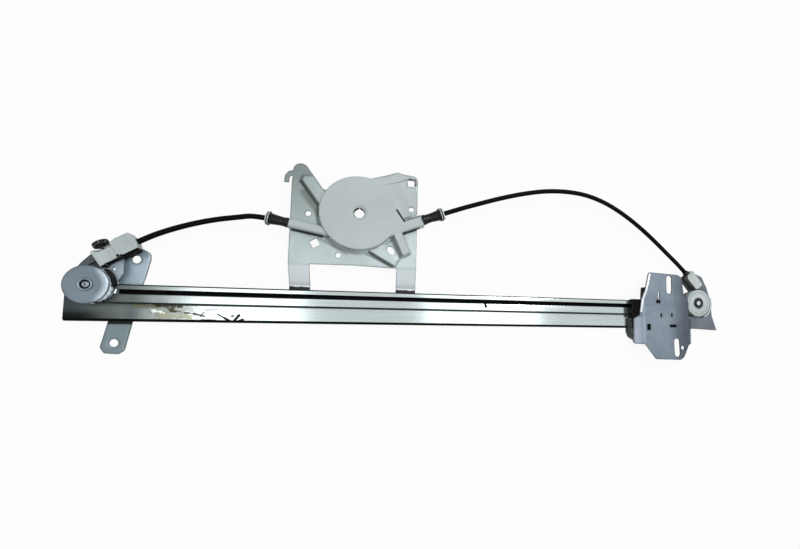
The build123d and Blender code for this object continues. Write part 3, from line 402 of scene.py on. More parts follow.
def rail_section():
    top, foot = RAIL_HIGH.y, RAIL_LOW.y
    front, base, deck = RAIL_HIGH.z, RAIL_LOW.z, DECK_Z
    lip, step = RAIL_LIP_Y, RAIL_STEP_Y
    t = SHEET_MM
    corners = [(lip, front), (top, front), (top, base), (step - t, base), (step - t, deck - t),
               (foot + t, deck - t), (foot + t, base), (foot, base), (foot, deck), (step, deck),
               (step, base + t), (top - t, base + t), (top - t, front - t), (lip, front - t)]
    outer, inner, tip = 2.0, 0.6, 0.3
    radii = [tip, 1.6, outer, outer, inner, inner, tip, tip, 2.8, 1.2, inner, inner, inner, tip]
    return rounded(corners, radii, 5)


def make_rail():
    mesh = prism(rail_section(), RAIL_LOW.x, RAIL_HIGH.x)
    mesh.transform(Matrix(((0, 0, 1, 0), (1, 0, 0, 0), (0, 1, 0, 0), (0, 0, 0, 1))))
    left, right = CHANNEL_ENDS
    cutters = [box((RAIL_LOW.x - 5, RAIL_STEP_Y, -30), (left, RAIL_HIGH.y + 9, 20)),
               box((right, RAIL_STEP_Y, -30), (RAIL_HIGH.x + 5, RAIL_HIGH.y + 9, 20))]
    cutters += [prism(ring(at, 1.6, 24), -30, 20) for at in RIVET_AT]
    return piece("rail_strip", combined(mesh, cutters, "DIFFERENCE"), "guide_rail", replaces=["guide_rail"])


rail = make_rail()
smooth(rail, 30)
print("rail length, mm:", round(RAIL_HIGH.x - RAIL_LOW.x, 1))

# %% [markdown]
# ## The two conduits
# Each cable runs in a stiff plastic-coated sleeve held at both ends, like a
# brake cable. A NURBS curve through the route's points, with a round bevel,
# gives a bend that changes slowly from one end to the other.

# %% Conduits
CONDUIT_R = 2.5
LEFT_ROUTE = ((-197.51, -47.36, 0), (-178.33, -34.67, 0), (-161.5, -26.6, 1.0), (-142.5, -19.6, 2.4),
              (-124, -14.6, 4), (-106, -11.4, 5.4), (-90.12, -8.57, 6.3), (-63.58, -13.54, 6.3))
RIGHT_ROUTE = ((62.21, -1.83, 8.7), (93.74, 10.91, 8.7), (117, 19.3, 9), (141, 27.6, 9.1), (166.5, 35.2, 8.8),
               (193, 41, 8.2), (219, 43, 7.4), (244, 41.2, 6.4), (268.5, 34, 5.2), (291, 22.9, 4),
               (312.5, 9.3, 2.9), (333, -6, 1.7), (351, -20.8, 0.7), (367.6, -34.23, 0), (385.28, -51.91, 0))


def make_conduit(name, route, node):
    curve = bpy.data.curves.new(name, "CURVE")
    curve.dimensions = "3D"
    curve.resolution_u = 12
    curve.bevel_depth = CONDUIT_R
    curve.bevel_resolution = 6
    curve.use_fill_caps = True
    line = curve.splines.new("NURBS")
    line.points.add(len(route) - 1)
    for point, place in zip(line.points, route):
        point.co = (*place, 1)
    line.order_u = 3
    line.use_endpoint_u = True
    path = placed(name + "_path", curve)
    mesh = final_mesh(path)
    bpy.data.objects.remove(path)
    return piece(name, mesh, node, replaces=[node])


left_conduit = make_conduit("left_conduit_sleeve", LEFT_ROUTE, "left_conduit")
right_conduit = make_conduit("right_conduit_hose", RIGHT_ROUTE, "right_conduit")
print("conduit faces:", [len(c.data.polygons) for c in (left_conduit, right_conduit)])

# %% [markdown]
# ## The drive plate
# One pressing carries the motor: a raised round seat with a horn and a tail, a
# bead round one corner, and two legs that step down to the rail.

# %% Drive plate
SEAT_R = 39.5
FOLD_Y = -50.5
LEGS = ((-63.0, -44.3), (36.6, 56.4))
RAISED = 3.0
PILOT_R = 12.0
PLATE_SCREWS = ((49.8, 9.6), (-47.0, -2.0), (-18.6, -41.6))
SEAT_TOP = SHEET_MM + RAISED
HORN = [(-55.2, 29.6), (-52.8, 35.0), (-43.6, 35.4), (-33.2, 21.0), (-20, 20), (-20, -10), (-38.5, 5.5)]
TAIL_FROM, TAIL_TILT, TAIL_END = (5.0, -34.4), -29.9, 34.1
BEAD = [(14.0, 37.0), (35.4, 46.6), (40.4, 45.0), (49.0, 44.3), (52.8, 43.5), (54.6, 40.2), (54.6, 35.0),
        (52.9, 35.0), (52.9, 40.9), (46.0, 41.4), (23.7, 30.2), (18.0, 32.0)]


def plate_height(x, y):
    seat = np.minimum(to_circle(x, y, (0, 0), SEAT_R - 0.6), to_polygon(x, y, HORN))
    s, off = beside(x, y, TAIL_FROM, TAIL_TILT)
    tail = slope(-off, 4.2) * slope(off - 16, 18) * slope(s - TAIL_END, 3) * slope(-3 - s, 6)
    left_side = np.clip((-x - y) / 30, 0, 1)
    z = SHEET_MM + RAISED * np.maximum(slope(seat + 0.6 * left_side, 2.0 + 3.4 * left_side), tail)
    z = np.maximum(z, SHEET_MM + SHEET_MM * slope(to_polygon(x, y, BEAD), 1.6))
    down = np.clip((FOLD_Y - y) / (FOLD_Y + 71.5), 0, 1)
    soft = np.where(down < 0.06, down * down / 0.12, np.minimum(down - 0.03, 1))
    return np.where(y < FOLD_Y, SHEET_MM - soft * (SHEET_MM - RAIL_LOW.z), z)


def turned(corners, degrees, at):
    return [Matrix.Rotation(math.radians(degrees), 2) @ Vector(p) + Vector(at) for p in corners]


def make_drive_plate():
    (l0, l1), (r0, r1) = LEGS
    foot = -107.0
    corners = [(l0, foot), (l1, foot), (l1, FOLD_Y - 0.9), (-2.7, FOLD_Y - 0.3), (r0 - 2.2, FOLD_Y - 1.5),
               (r0, FOLD_Y - 1.3), (r0, foot), (r1, foot), (55.6, 40.6), (53.4, 44.4), (49.4, 45.3),
               (40.4, 46.0), (35.4, 47.6), (10.4, 38.1), (-10.0, 34.0), (-24.0, 28.0), (-33.2, 21.5),
               (-50.5, 45.6), (-54.6, 47.2), (-58.6, 46.4), (-61.6, 43.0), (-62.2, 39.6), (-66.0, 38.4),
               (-69.0, 34.0), (-69.6, 27.4), (-65.4, 27.4), (-65.0, 33.6), (-62.4, 34.6), (-62.8, 25.6)]
    radii = [1, 1, 1, 3, 1, 1, 1, 1, 2, 2, 1, 2, 3, 8, 8, 4, 3, 3, 3, 3, 3, 0.6, 2, 2, 0.5, 0.5, 2, 0.6, 4]
    outline = rounded(corners, radii, 4)
    square = rounded([(45.5, 33.7), (52.1, 33.7), (52.1, 40.3), (45.5, 40.3)], 1.0, 3)
    diamond = turned(rounded([(-3.7, -3.7), (3.7, -3.7), (3.7, 3.7), (-3.7, 3.7)], 1.0, 3), 30, (-40.1, -30.8))
    oval = turned([(4.8 * p.x, 3.3 * p.y) for p in ring((0, 0), 1, 32)], -55, (31.0, -34.6))
    holes = [ring((0, 0), PILOT_R, 72), square, diamond, oval]
    holes += [ring(at, 2.6, 32) for at in PLATE_SCREWS]
    return pressed("drive_plate_pressing", [outline], holes, plate_height, "drive_plate", thick=SHEET_MM,
                   cell=0.8, edge=0.3)


drive_plate = make_drive_plate()
collar = [(PILOT_R, 0), (PILOT_R + SHEET_MM, 0), (PILOT_R + SHEET_MM, SEAT_TOP - 0.3), (PILOT_R + 1, SEAT_TOP),
          (PILOT_R + 0.3, SEAT_TOP), (PILOT_R, SEAT_TOP - 0.3)]
pilot_collar = piece("drive_plate_pilot_collar", lathe(collar), "drive_plate")
smooth(pilot_collar, 35)

# %% [markdown]
# ## The drum cover
# The cover is one plastic moulding. Its flat top runs out into two half-round
# cable exits, a finger, and a wing that flows down onto the plate with no edge
# at all. Each of these is a height, the cover is the highest of them, and the
# room for the drum is cut out from below.

# %% Drum cover
COVER_R, COVER_TOP, DRUM_ROOM_R, DRUM_ROOM_TOP = 36.4, 12.0, 34.0, 10.5
HUB_R, HUB_CONE_R, SHAFT_COLLAR_R = 5.2, 6.8, 8.0
DRUM_WRAP = 25.0
EXIT_Z = {"left": 6.3, "right": 8.7}
EXIT_BORE_R = 3.4
SKIN = 0.4
NOWHERE = -99
ARM_TILT = {"left": 180 - 10.6, "right": 22.0}
EXIT_FROM = {"left": -10.6 - 90, "right": 22.0 - 90}


def half_round(off, half, flat=2.6):
    """Height share of a moulding across its width, from a half circle to a flat top."""
    return np.clip(1 - np.abs(off / half) ** flat, 0, 1) ** (1 / flat)


EXIT_LEFT = on_line((0, 0), EXIT_FROM["left"], DRUM_WRAP)
EXIT_RIGHT = on_line((0, 0), EXIT_FROM["right"], DRUM_WRAP)
FINGER_AT, FINGER_TILT = on_line((0, 0), -19.5, COVER_R - 3.5), -66.0
WING = [(5, 36.0), (12, 39.0), (35.4, 46.8), (40.2, 45.2), (44.4, 44.6), (44.4, 32.6), (53.4, 32.6),
        (55.2, 27), (55.2, 5.5), (52, 0.5), (46, -5.0), (40, -13.0), (20, -16), (5, 0)]
WING_CORNERS = [0, 2, 2, 1, 1, 0.5, 1, 3, 3, 2, 1, 0, 0, 0]
SHOULDER = [(28, 6.5), (35.5, 5.6), (43.1, -5.0), (48.0, -3.0), (43.6, -12.0), (41.0, -15.0), (33, -17),
            (26, -8)]


def cover_height(x, y):
    radius = np.hypot(x, y)
    base = plate_height(x, y)
    inner = slope(to_polygon(x, y, WING) + 2.2, 4.4)
    wing = base + (COVER_TOP - base) * slope(radius - (COVER_R + 8.0), 19.0) * inner
    merged = np.maximum(inner, slope(to_polygon(x, y, SHOULDER), 2))
    rim_drop = 0.8 * slope(COVER_R - 0.4 - radius, 1.6) * (1 - merged)
    disc_top = COVER_TOP - rim_drop - 1.1 * slope(radius - HUB_CONE_R, 2.2)
    disc = np.where(radius < COVER_R + 0.3, disc_top, NOWHERE)
    shoulder = base + (COVER_TOP - base) * slope(to_polygon(x, y, SHOULDER) + 0.2, 0.9)
    s, off = beside(x, y, EXIT_LEFT, ARM_TILT["left"])
    arm_left = np.where((s > 18) & (s < 60), 1.0 + 9.6 * half_round(off, 5.0, 3.6), NOWHERE)
    s, off = beside(x, y, EXIT_RIGHT, ARM_TILT["right"])
    arm_right = np.where((s > 18) & (s < 57), 2.0 + 10.3 * half_round(off, 6.5, 4.0), NOWHERE)
    s, off = beside(x, y, FINGER_AT, FINGER_TILT)
    flank = slope(-3.0 - off, 4.6) * slope(off - 7.2, 1.6)
    finger = np.where((s > -1) & (s < 34), 2.5 + 8.6 * flank * slope(s - 31.4, 1.6), NOWHERE)
    top = np.maximum.reduce([disc, wing, shoulder, arm_left, arm_right, finger])
    return np.maximum(top, base + 0.08)


def make_drum_cover():
    outlines = [ring((0, 0), COVER_R, 120), rounded(WING, WING_CORNERS, 4), SHOULDER,
                strip(EXIT_LEFT, ARM_TILT["left"], 22.5, 58.5, -4.7, 4.7),
                strip(EXIT_RIGHT, ARM_TILT["right"], 22.4, 55.2, -6.2, 6.2),
                rounded(strip(FINGER_AT, FINGER_TILT, -3, 32, -5.6, 7.6), [0, 2.4, 1.6, 0], 4)]
    room = lathe([(SHAFT_COLLAR_R, -4), (DRUM_ROOM_R, -4), (DRUM_ROOM_R, DRUM_ROOM_TOP),
                  (SHAFT_COLLAR_R, DRUM_ROOM_TOP)], 96)
    shaft = lathe([(0, -4), (SHAFT_COLLAR_R + 1, -4), (SHAFT_COLLAR_R + 1, 8.6), (0, 8.6)], 48)
    bores = [aimed(prism(ring((0, 0), EXIT_BORE_R, 24), s0, s1), (*at, EXIT_Z[side]),
                   (*on_line((0, 0), ARM_TILT[side], 1), 0))
             for side, at, s0, s1 in (("left", EXIT_LEFT, 40, 62), ("right", EXIT_RIGHT, 38, 60))]
    holes = [ring((0, 0), HUB_R, 48), ring(PLATE_SCREWS[0], 2.8, 32)]
    return pressed("drum_cover_moulding", outlines, holes, cover_height, "drum_housing",
                   under=lambda x, y, z: np.minimum(plate_height(x, y) + 0.03, z - SKIN), cell=0.6,
                   cuts=[room, shaft, *bores], angle=42)


drum_cover = make_drum_cover()

# %% [markdown]
# ## Softer edges on the parts that stay as they are
# A real stamping or moulding has no knife edges, and the light caught along a
# small round is what tells the eye that a part is metal. Weld joins the loose
# triangles of the imported mesh, planar dissolve gives whole faces back, and
# Bevel rounds what is left sharp. The CAD mesh itself is not touched.


# %% Soften edges with modifiers
WELD_MM = 0.01
WHOLE_FACE_DEG, ROUND_FROM_DEG = 0.6, 32


def soften(node, width):
    obj = NODES[node]
    weld = obj.modifiers.new("weld", "WELD")
    weld.merge_threshold = WELD_MM * MM
    flat = obj.modifiers.new("whole_faces", "DECIMATE")
    flat.decimate_type = "DISSOLVE"
    flat.angle_limit = math.radians(WHOLE_FACE_DEG)
    bevel = obj.modifiers.new("round_edges", "BEVEL")
    bevel.width = width * MM
    bevel.segments = 2
    bevel.limit_method = "ANGLE"
    bevel.angle_limit = math.radians(ROUND_FROM_DEG)
    bevel.use_clamp_overlap = True
    level = obj.modifiers.new("level_shading", "WEIGHTED_NORMAL")
    level.mode = "FACE_AREA_WITH_ANGLE"
    level.weight = 100
    obj.data.polygons.foreach_set("use_smooth", [True] * len(obj.data.polygons))


EDGE_ROUNDS = (
    (0.2, ("left_cable_guard", "cable_drum", "cable_nipples")),
    (0.3, ("left_pulley_bracket", "left_conduit_ring", "right_conduit_ring", "housing_screws",
           "right_end_bracket", "rail_rivets", "right_axle", "right_pulley_guard", "right_conduit_sleeve")),
    (0.4, ("carrier_slider",)),
    (0.5, ("right_cable_fitting",)),
)
for width, nodes in EDGE_ROUNDS:
    for node in nodes:
        soften(node, width)
    print("rounded by", width, "mm:", len(nodes), "nodes")

# %% [markdown]
# ## The left end
# A strap crosses behind the rail, a hollow rivet holds a bevelled steel disc
# over the pulley, and a moulded fitting takes the end of the conduit. The disc's
# bevel is what catches the light down its right side, so it is turned on the
# lathe with its true slope, and its finish adds a painted highlight there.

# %% Left strap
STRAP_BOX = [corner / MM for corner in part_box("left_mount_strap")]


def near_left(places):
    return [Vector((LEFT_AT.x + x, LEFT_AT.y + y)) for x, y in places]


def make_strap():
    corners = near_left(((18.4, 29.0), (22.8, 34.4), (32.6, 35.0), (38.6, 31.2), (39.2, 26.0), (36.4, 11.3),
                         (34.1, 1.8), (28.4, -31.7), (24.0, -56.5), (19.9, -60.0), (9.2, -59.2), (5.8, -54.0),
                         (10.2, -32.0), (16.0, 2.5)))
    outline = rounded(corners, [3, 3, 4, 4, 6, 8, 8, 8, 3, 3, 3, 3, 8, 8], 5)
    holes = [ring(at, 3.5, 40) for at in near_left(((28.2, 25.1), (15.7, -50.1)))]
    crease = near_left(((5, -36.6), (32, -37.2)))[0].y

    def top(x, y):
        sunk = sum(slope(to_circle(x, y, at, 4.2), 1.6) for at in near_left(((28.2, 25.1), (15.7, -50.1))))
        return STRAP_BOX[1].z - 0.35 * slope(np.abs(y - crease) - 0.2, 1.2) - 0.45 * sunk
    return pressed("left_strap_pressing", [outline], holes, top, "left_mount_strap",
                   under=lambda x, y, z: np.full_like(z, STRAP_BOX[0].z), cell=0.8, edge=0.35)


left_strap = make_strap()

# %% Left disc, rivet and pulley
DISC_Z0, DISC_Z1 = (corner.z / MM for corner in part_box("left_pulley_cover"))
DISC_R = 16.6
AXLE_R = 3.0
AXLE_LOW, AXLE_HIGH = (corner.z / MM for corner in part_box("left_axle"))
WHEEL_Z = 3.7
SCALLOPS = 20


def on_left(mesh):
    return aimed(mesh, (LEFT_AT.x, LEFT_AT.y, 0))


disc_profile = [(AXLE_R, DISC_Z0), (15.6, DISC_Z0), (16.3, DISC_Z0 - 0.5), (DISC_R, DISC_Z0 - 0.4),
                (DISC_R, DISC_Z1 - 0.9), (16.45, DISC_Z1 - 0.45), (16.0, DISC_Z1 - 0.12), (15.4, DISC_Z1),
                (14.8, DISC_Z1), (AXLE_R, DISC_Z1)]
left_disc = piece("left_cover_disc", on_left(lathe(disc_profile, 128)), "left_pulley_cover",
                  replaces=["left_pulley_cover"])
smooth(left_disc, 50)
rivet_profile = [(0, AXLE_LOW), (4.6, AXLE_LOW), (5.0, AXLE_LOW + 0.4), (5.0, AXLE_LOW + 1.5),
                 (AXLE_R, AXLE_LOW + 1.5), (AXLE_R, DISC_Z1), (5.6, DISC_Z1), (5.7, DISC_Z1 + 0.45),
                 (5.3, AXLE_HIGH - 0.08), (4.7, AXLE_HIGH), (4.2, AXLE_HIGH - 0.1), (3.7, AXLE_HIGH - 1.1),
                 (3.2, AXLE_HIGH - 1.5), (2.6, AXLE_HIGH - 1.4), (2.1, AXLE_HIGH - 0.7), (1.5, AXLE_HIGH - 0.35),
                 (0.9, AXLE_HIGH - 0.5), (0.5, AXLE_HIGH - 1.6), (0, AXLE_HIGH - 1.7)]
left_rivet = piece("left_hollow_rivet", on_left(lathe(rivet_profile, 64)), "left_axle", replaces=["left_axle"])
smooth(left_rivet, 60)


def scalloped(mesh, at, start, depth, count):
    """Pulls the rim in between its teeth."""
    for v in mesh.vertices:
        radius = math.hypot(v.co.x, v.co.y)
        if radius > start:
            turn = math.atan2(v.co.y, v.co.x)
            dip = max(0.0, math.cos(count * turn)) ** 4 * depth * (radius - start) / (at - start)
            v.co.x -= v.co.x / radius * dip
            v.co.y -= v.co.y / radius * dip
    return mesh


GROOVE_FLOOR, GROOVE_HALF, RIM_FLAT = 14.0, 1.0, 2.4
wheel_profile = [(AXLE_R + 0.05, -WHEEL_Z), (WHEEL_R - 0.4, -WHEEL_Z), (WHEEL_R, -WHEEL_Z + 0.4), (WHEEL_R, -RIM_FLAT),
                 (GROOVE_FLOOR, -GROOVE_HALF), (GROOVE_FLOOR, GROOVE_HALF), (WHEEL_R, RIM_FLAT),
                 (WHEEL_R, WHEEL_Z - 0.4), (WHEEL_R - 0.4, WHEEL_Z), (AXLE_R + 0.05, WHEEL_Z)]
left_wheel = piece("left_scalloped_pulley",
                   on_left(scalloped(lathe(wheel_profile, 240), WHEEL_R, GROOVE_FLOOR + 1, 1.1, SCALLOPS)),
                   "left_pulley", replaces=["left_pulley"])
smooth(left_wheel, 40)

# %% [markdown]
# ## Fittings, button and boots
# The left fitting is one moulding: an end flange, a low ledge under the rubber
# button, and a taller head around the conduit. The boots are soft sleeves with a
# waist and a flange, turned on the lathe and laid along the cable.

# %% Left fitting
FIT_TILT = 33.5
WRAP_R = 14.9
FIT_LOW, FIT_HIGH = (corner.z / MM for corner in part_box("left_cable_fitting"))
TANGENT_LEFT = on_line((LEFT_AT.x, LEFT_AT.y), FIT_TILT + 90, WRAP_R)


def fitting_height(x, y):
    s, off = beside(x, y, TANGENT_LEFT, FIT_TILT)
    body = FIT_HIGH - 0.5 - 0.25 * slope(np.abs(s - 25.5) - 2.0, 1.4)
    ledge = 2.6 * slope(5.2 - off + 0.2, 0.8) * slope(s - 31.6, 1.0)
    flange = slope(s - 20.2, 1.0)
    head = slope(31.6 - s, 1.6)
    z = body - ledge
    z = z + (FIT_HIGH - z) * np.maximum(flange, head)
    rim = np.minimum.reduce([49.4 - s, s - 16.2, 9.4 - off, off + 7.6])
    z = z - 1.5 * slope(rim - 0.5, 2.0) * head - 0.7 * slope(rim - 0.3, 1.2) * (1 - head)
    notch = slope(np.abs(s - 31.9) - 0.7, 0.7) * slope(off + 4.4, 1.0)
    clip = slope(np.abs(s - 34.4) - 0.6, 0.7) * slope(off + 5.8, 0.8)
    return z - 2.6 * np.maximum(notch, clip)


def make_left_fitting():
    corners = [(16.2, -7.4), (19.8, -7.4), (19.8, -6.4), (31.5, -6.4), (33.0, -8.0), (47.6, -7.8), (49.4, -2.0),
               (50.0, 3.0), (48.0, 9.6), (36.8, 9.8), (31.0, 7.4), (19.8, 7.3), (19.8, 7.6), (16.2, 7.6)]
    outline = rounded([on_line(TANGENT_LEFT, FIT_TILT, *p) for p in corners],
                      [0.8, 0.8, 0.2, 0.6, 0.8, 1.0, 1.2, 1.2, 1.4, 1.6, 1.5, 0.2, 0.8, 0.8], 5)
    along_cable = (*on_line((0, 0), FIT_TILT, 1), 0)
    bore = aimed(prism(ring((0, 0), 1.15, 24), 10, 60), (*TANGENT_LEFT, 0), along_cable)
    socket = aimed(prism(ring((0, 0), CONDUIT_R, 32), 33, 60), (*TANGENT_LEFT, 0), along_cable)
    return pressed("left_fitting_moulding", [outline], [], fitting_height, "left_cable_fitting",
                   under=lambda x, y, z: np.full_like(z, FIT_LOW), cell=0.5, cuts=[bore, socket], angle=42)


left_fitting = make_left_fitting()

# %% Button and boots
BUTTON_AT = on_line(TANGENT_LEFT, FIT_TILT, 25.0, 4.3)
BOOT_REACH = {"left": 58.6, "right": 55.2}


def lying(name, profile, at, z, degrees, node):
    """A turned part laid along a direction in the plane of the rail."""
    mesh = aimed(lathe(profile, 64), (at[0], at[1], z), (*on_line((0, 0), degrees, 1), 0))
    obj = piece(name, mesh, node, replaces=[node])
    smooth(obj, 40)
    return obj


button = lying("left_button_knob", [(0, 0), (2.0, 0), (2.0, 5.3), (5.2, 5.3), (6.0, 5.7), (6.2, 6.6), (6.0, 7.4),
                                    (6.2, 8.2), (5.9, 9.1), (5.0, 9.5), (0, 9.3)],
               BUTTON_AT, 0, FIT_TILT + 90, "left_fitting_button")
left_boot = lying("left_boot_sleeve", [(2.5, 0), (4.7, 0), (4.75, 3.0), (4.35, 4.2), (4.5, 8.5), (4.9, 12.5),
                                       (5.3, 16.0), (6.5, 16.7), (6.7, 17.4), (6.7, 18.3), (6.4, 18.6), (2.5, 18.6)],
                  on_line(EXIT_LEFT, ARM_TILT["left"], BOOT_REACH["left"]), EXIT_Z["left"], ARM_TILT["left"],
                  "left_cable_boot")
right_boot = lying("right_boot_sleeve", [(2.5, 0), (5.2, 0), (5.3, 2.6), (4.7, 4.4), (4.6, 9.0), (5.0, 13.0),
                                         (5.5, 17.2), (6.5, 18.0), (6.7, 18.8), (6.7, 20.9), (6.3, 21.4),
                                         (2.5, 21.4)],
                   on_line(EXIT_RIGHT, ARM_TILT["right"], BOOT_REACH["right"]), EXIT_Z["right"],
                   ARM_TILT["right"], "right_cable_boot")
print("turned parts: button, two boots")

# %% [markdown]
# ## The right pulley
# The same wheel as on the left, without a disc, so its dished face shows: a
# raised rim, a shallow dish, and a dark ring round the steel pin.

# %% Right pulley
dish_profile = [(AXLE_R + 0.05, -WHEEL_Z), (WHEEL_R - 0.4, -WHEEL_Z), (WHEEL_R, -WHEEL_Z + 0.4), (WHEEL_R, -RIM_FLAT),
                (GROOVE_FLOOR, -GROOVE_HALF), (GROOVE_FLOOR, GROOVE_HALF), (WHEEL_R, RIM_FLAT),
                (WHEEL_R, WHEEL_Z - 0.5), (WHEEL_R - 0.5, WHEEL_Z), (WHEEL_R - 1.8, WHEEL_Z),
                (WHEEL_R - 3.0, WHEEL_Z - 0.7), (8.4, WHEEL_Z - 0.9), (7.0, WHEEL_Z - 0.4), (6.0, WHEEL_Z - 0.5),
                (5.4, WHEEL_Z - 1.2), (5.0, WHEEL_Z - 2.1), (AXLE_R + 0.05, WHEEL_Z - 2.1)]
right_wheel = piece("right_dished_pulley", aimed(lathe(dish_profile, 128), (RIGHT_AT.x, RIGHT_AT.y, 0)),
                    "right_pulley", replaces=["right_pulley"])
smooth(right_wheel, 40)

# %% [markdown]
# ## The carrier
# The carrier plate is pressed sheet: its left side and two wings are bent down,
# a shallow panel is raised in its upper part, and a dimple marks where it is
# gripped. The bend along the left side mirrors the left lamp, which is the
# bright line that the real plate shows there, and its finish adds a painted
# highlight along that margin too.

# %% Carrier plate
PARK = Vector((336.0, RUN_Y))
CARRIER_TOP = 9.5


def parked(places):
    return [PARK + Vector(p) for p in places]


def carrier_height(x, y):
    u, v = x - PARK.x, y - PARK.y
    fold = np.interp(v, [-34.0, -3.0, 8.0, 16.2, 28.2, 49.0], [-22.0, -23.4, -24.0, -24.2, -19.4, -15.2])
    z = CARRIER_TOP - 0.62 * bend(fold - u, 1.0) - 1.0 * bend(u - 37.2, 1.0)
    panel = slope(np.maximum(11.6 - v + 0.06 * u, u - 18.5), 1.8)
    side_panel = slope(np.maximum.reduce([20.0 - u, v - 9.4, -29.0 - v]), 1.8)
    dimple = 0.3 * slope(to_circle(u, v, (24.5, -15.6), 3.0), 3.4) + 0.2 * slope(to_circle(u, v, (-9.0, 3.0), 1.2), 2)
    return z - 0.4 + 0.22 * panel - 0.16 * side_panel - dimple


def make_carrier():
    corners = [(-16.4, 49.0), (21.8, 47.4), (27.6, 44.2), (29.8, 23.9), (34.0, 19.9), (36.4, 14.9), (36.4, -4.1),
               (43.3, -4.6), (43.3, -34.7), (36.4, -35.1), (29.6, -49.7), (25.1, -53.0), (-7.4, -52.1),
               (-21.6, -34.7), (-33.2, -34.3), (-33.2, -3.9), (-27.5, -1.4), (-26.2, 16.2), (-21.0, 28.2)]
    radii = [2.5, 3, 3, 4, 2, 3, 0.6, 1.2, 1.2, 1, 3, 3, 4, 3, 3, 3.5, 1.2, 5, 5]
    outline = rounded(parked(corners), radii, 5)
    slots = []
    for at, half, tilt in (((10.0, 35.1), 3.6, 90), ((20.0, -38.7), 3.7, 93)):
        reach = 10.7 - half
        ends = [(reach, -half), (reach + half, -half), (reach + half, half), (-reach - half, half),
                (-reach - half, -half)]
        slots.append(turned(rounded([ends[1], ends[2], ends[3], ends[4]], half - 0.01, 8), tilt, PARK + Vector(at)))
    holes = slots + [ring(PARK + Vector((27.6, -38.9)), 2.2, 32)]
    for (u, v), (w, h) in (((-3.9, 23.1), (2.0, 8.0)), ((-4.6, 14.9), (5.6, 3.6)), ((-0.7, -1.1), (1.8, 4.4)),
                           ((13.3, -0.5), (1.8, 4.4)), ((14.9, -13.3), (8.6, 3.0)), ((-17.0, -14.9), (4.6, 6.8))):
        w, h = w / 2, h / 2
        holes.append(rounded(parked([(u - w, v - h), (u + w, v - h), (u + w, v + h), (u - w, v + h)]), 0.5, 3))
    return pressed("carrier_plate_pressing", [outline], holes, carrier_height, "carrier_plate", thick=SHEET_MM,
                   cell=0.7, edge=0.35)


carrier = make_carrier()

# %% [markdown]
# ## The claw
# The grey shoe under the carrier has two pockets in its face, moulded so that
# its walls stay even, and a rounded lower edge.

# %% Slider claw
CLAW_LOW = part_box("slider_claw")[0] / MM
CLAW_FACE = CARRIER_TOP - SHEET_MM - 6.6


def claw_height(x, y):
    u, v = x - PARK.x, y - RAIL_LOW.y
    pads = slope(np.maximum(np.abs(u - 4.0) - 4.0, np.abs(v + 3.0) - 11.0), 0.6)
    pocket = np.maximum(slope(np.maximum(np.abs(u + 34.6) - 1.5, np.abs(v - 4.6) - 4.4), 0.7) * 2.0,
                        slope(np.maximum(np.abs(u + 29.6) - 2.2, np.abs(v - 4.6) - 5.0), 0.7) * 0.9)
    edge = to_polygon(x, y, claw_outline())
    return CLAW_FACE + (CARRIER_TOP - SHEET_MM - CLAW_FACE) * pads - pocket - 1.6 * (1 - slope(0.9 + edge, 2.2))


def claw_outline():
    return [Vector((PARK.x + u, RAIL_LOW.y + v)) for u, v in
            ((-37.6, 11.8), (-37.6, -4.4), (-35.0, -10.4), (-23.4, -17.2), (16.0, -17.2), (16.0, 11.8))]


def make_claw():
    top = rounded(claw_outline(), [1.2, 5, 5, 6, 3, 1.2], 5)
    return pressed("slider_claw_moulding", [top], [], claw_height, "slider_claw",
                   under=lambda x, y, z: np.where(y > RAIL_LOW.y - 0.05, DECK_Z + 0.3, CLAW_LOW.z), cell=0.7,
                   angle=42)


claw = make_claw()

# %% [markdown]
# ## Finishes
# Every finish here is made from nodes, so it has no seams and needs no
# unwrapping. Noise is read in the object's own metres, which keeps a grain of
# half a millimetre at half a millimetre on every part. A plain number, such as
# how metallic a thing is, sits on the shader itself.


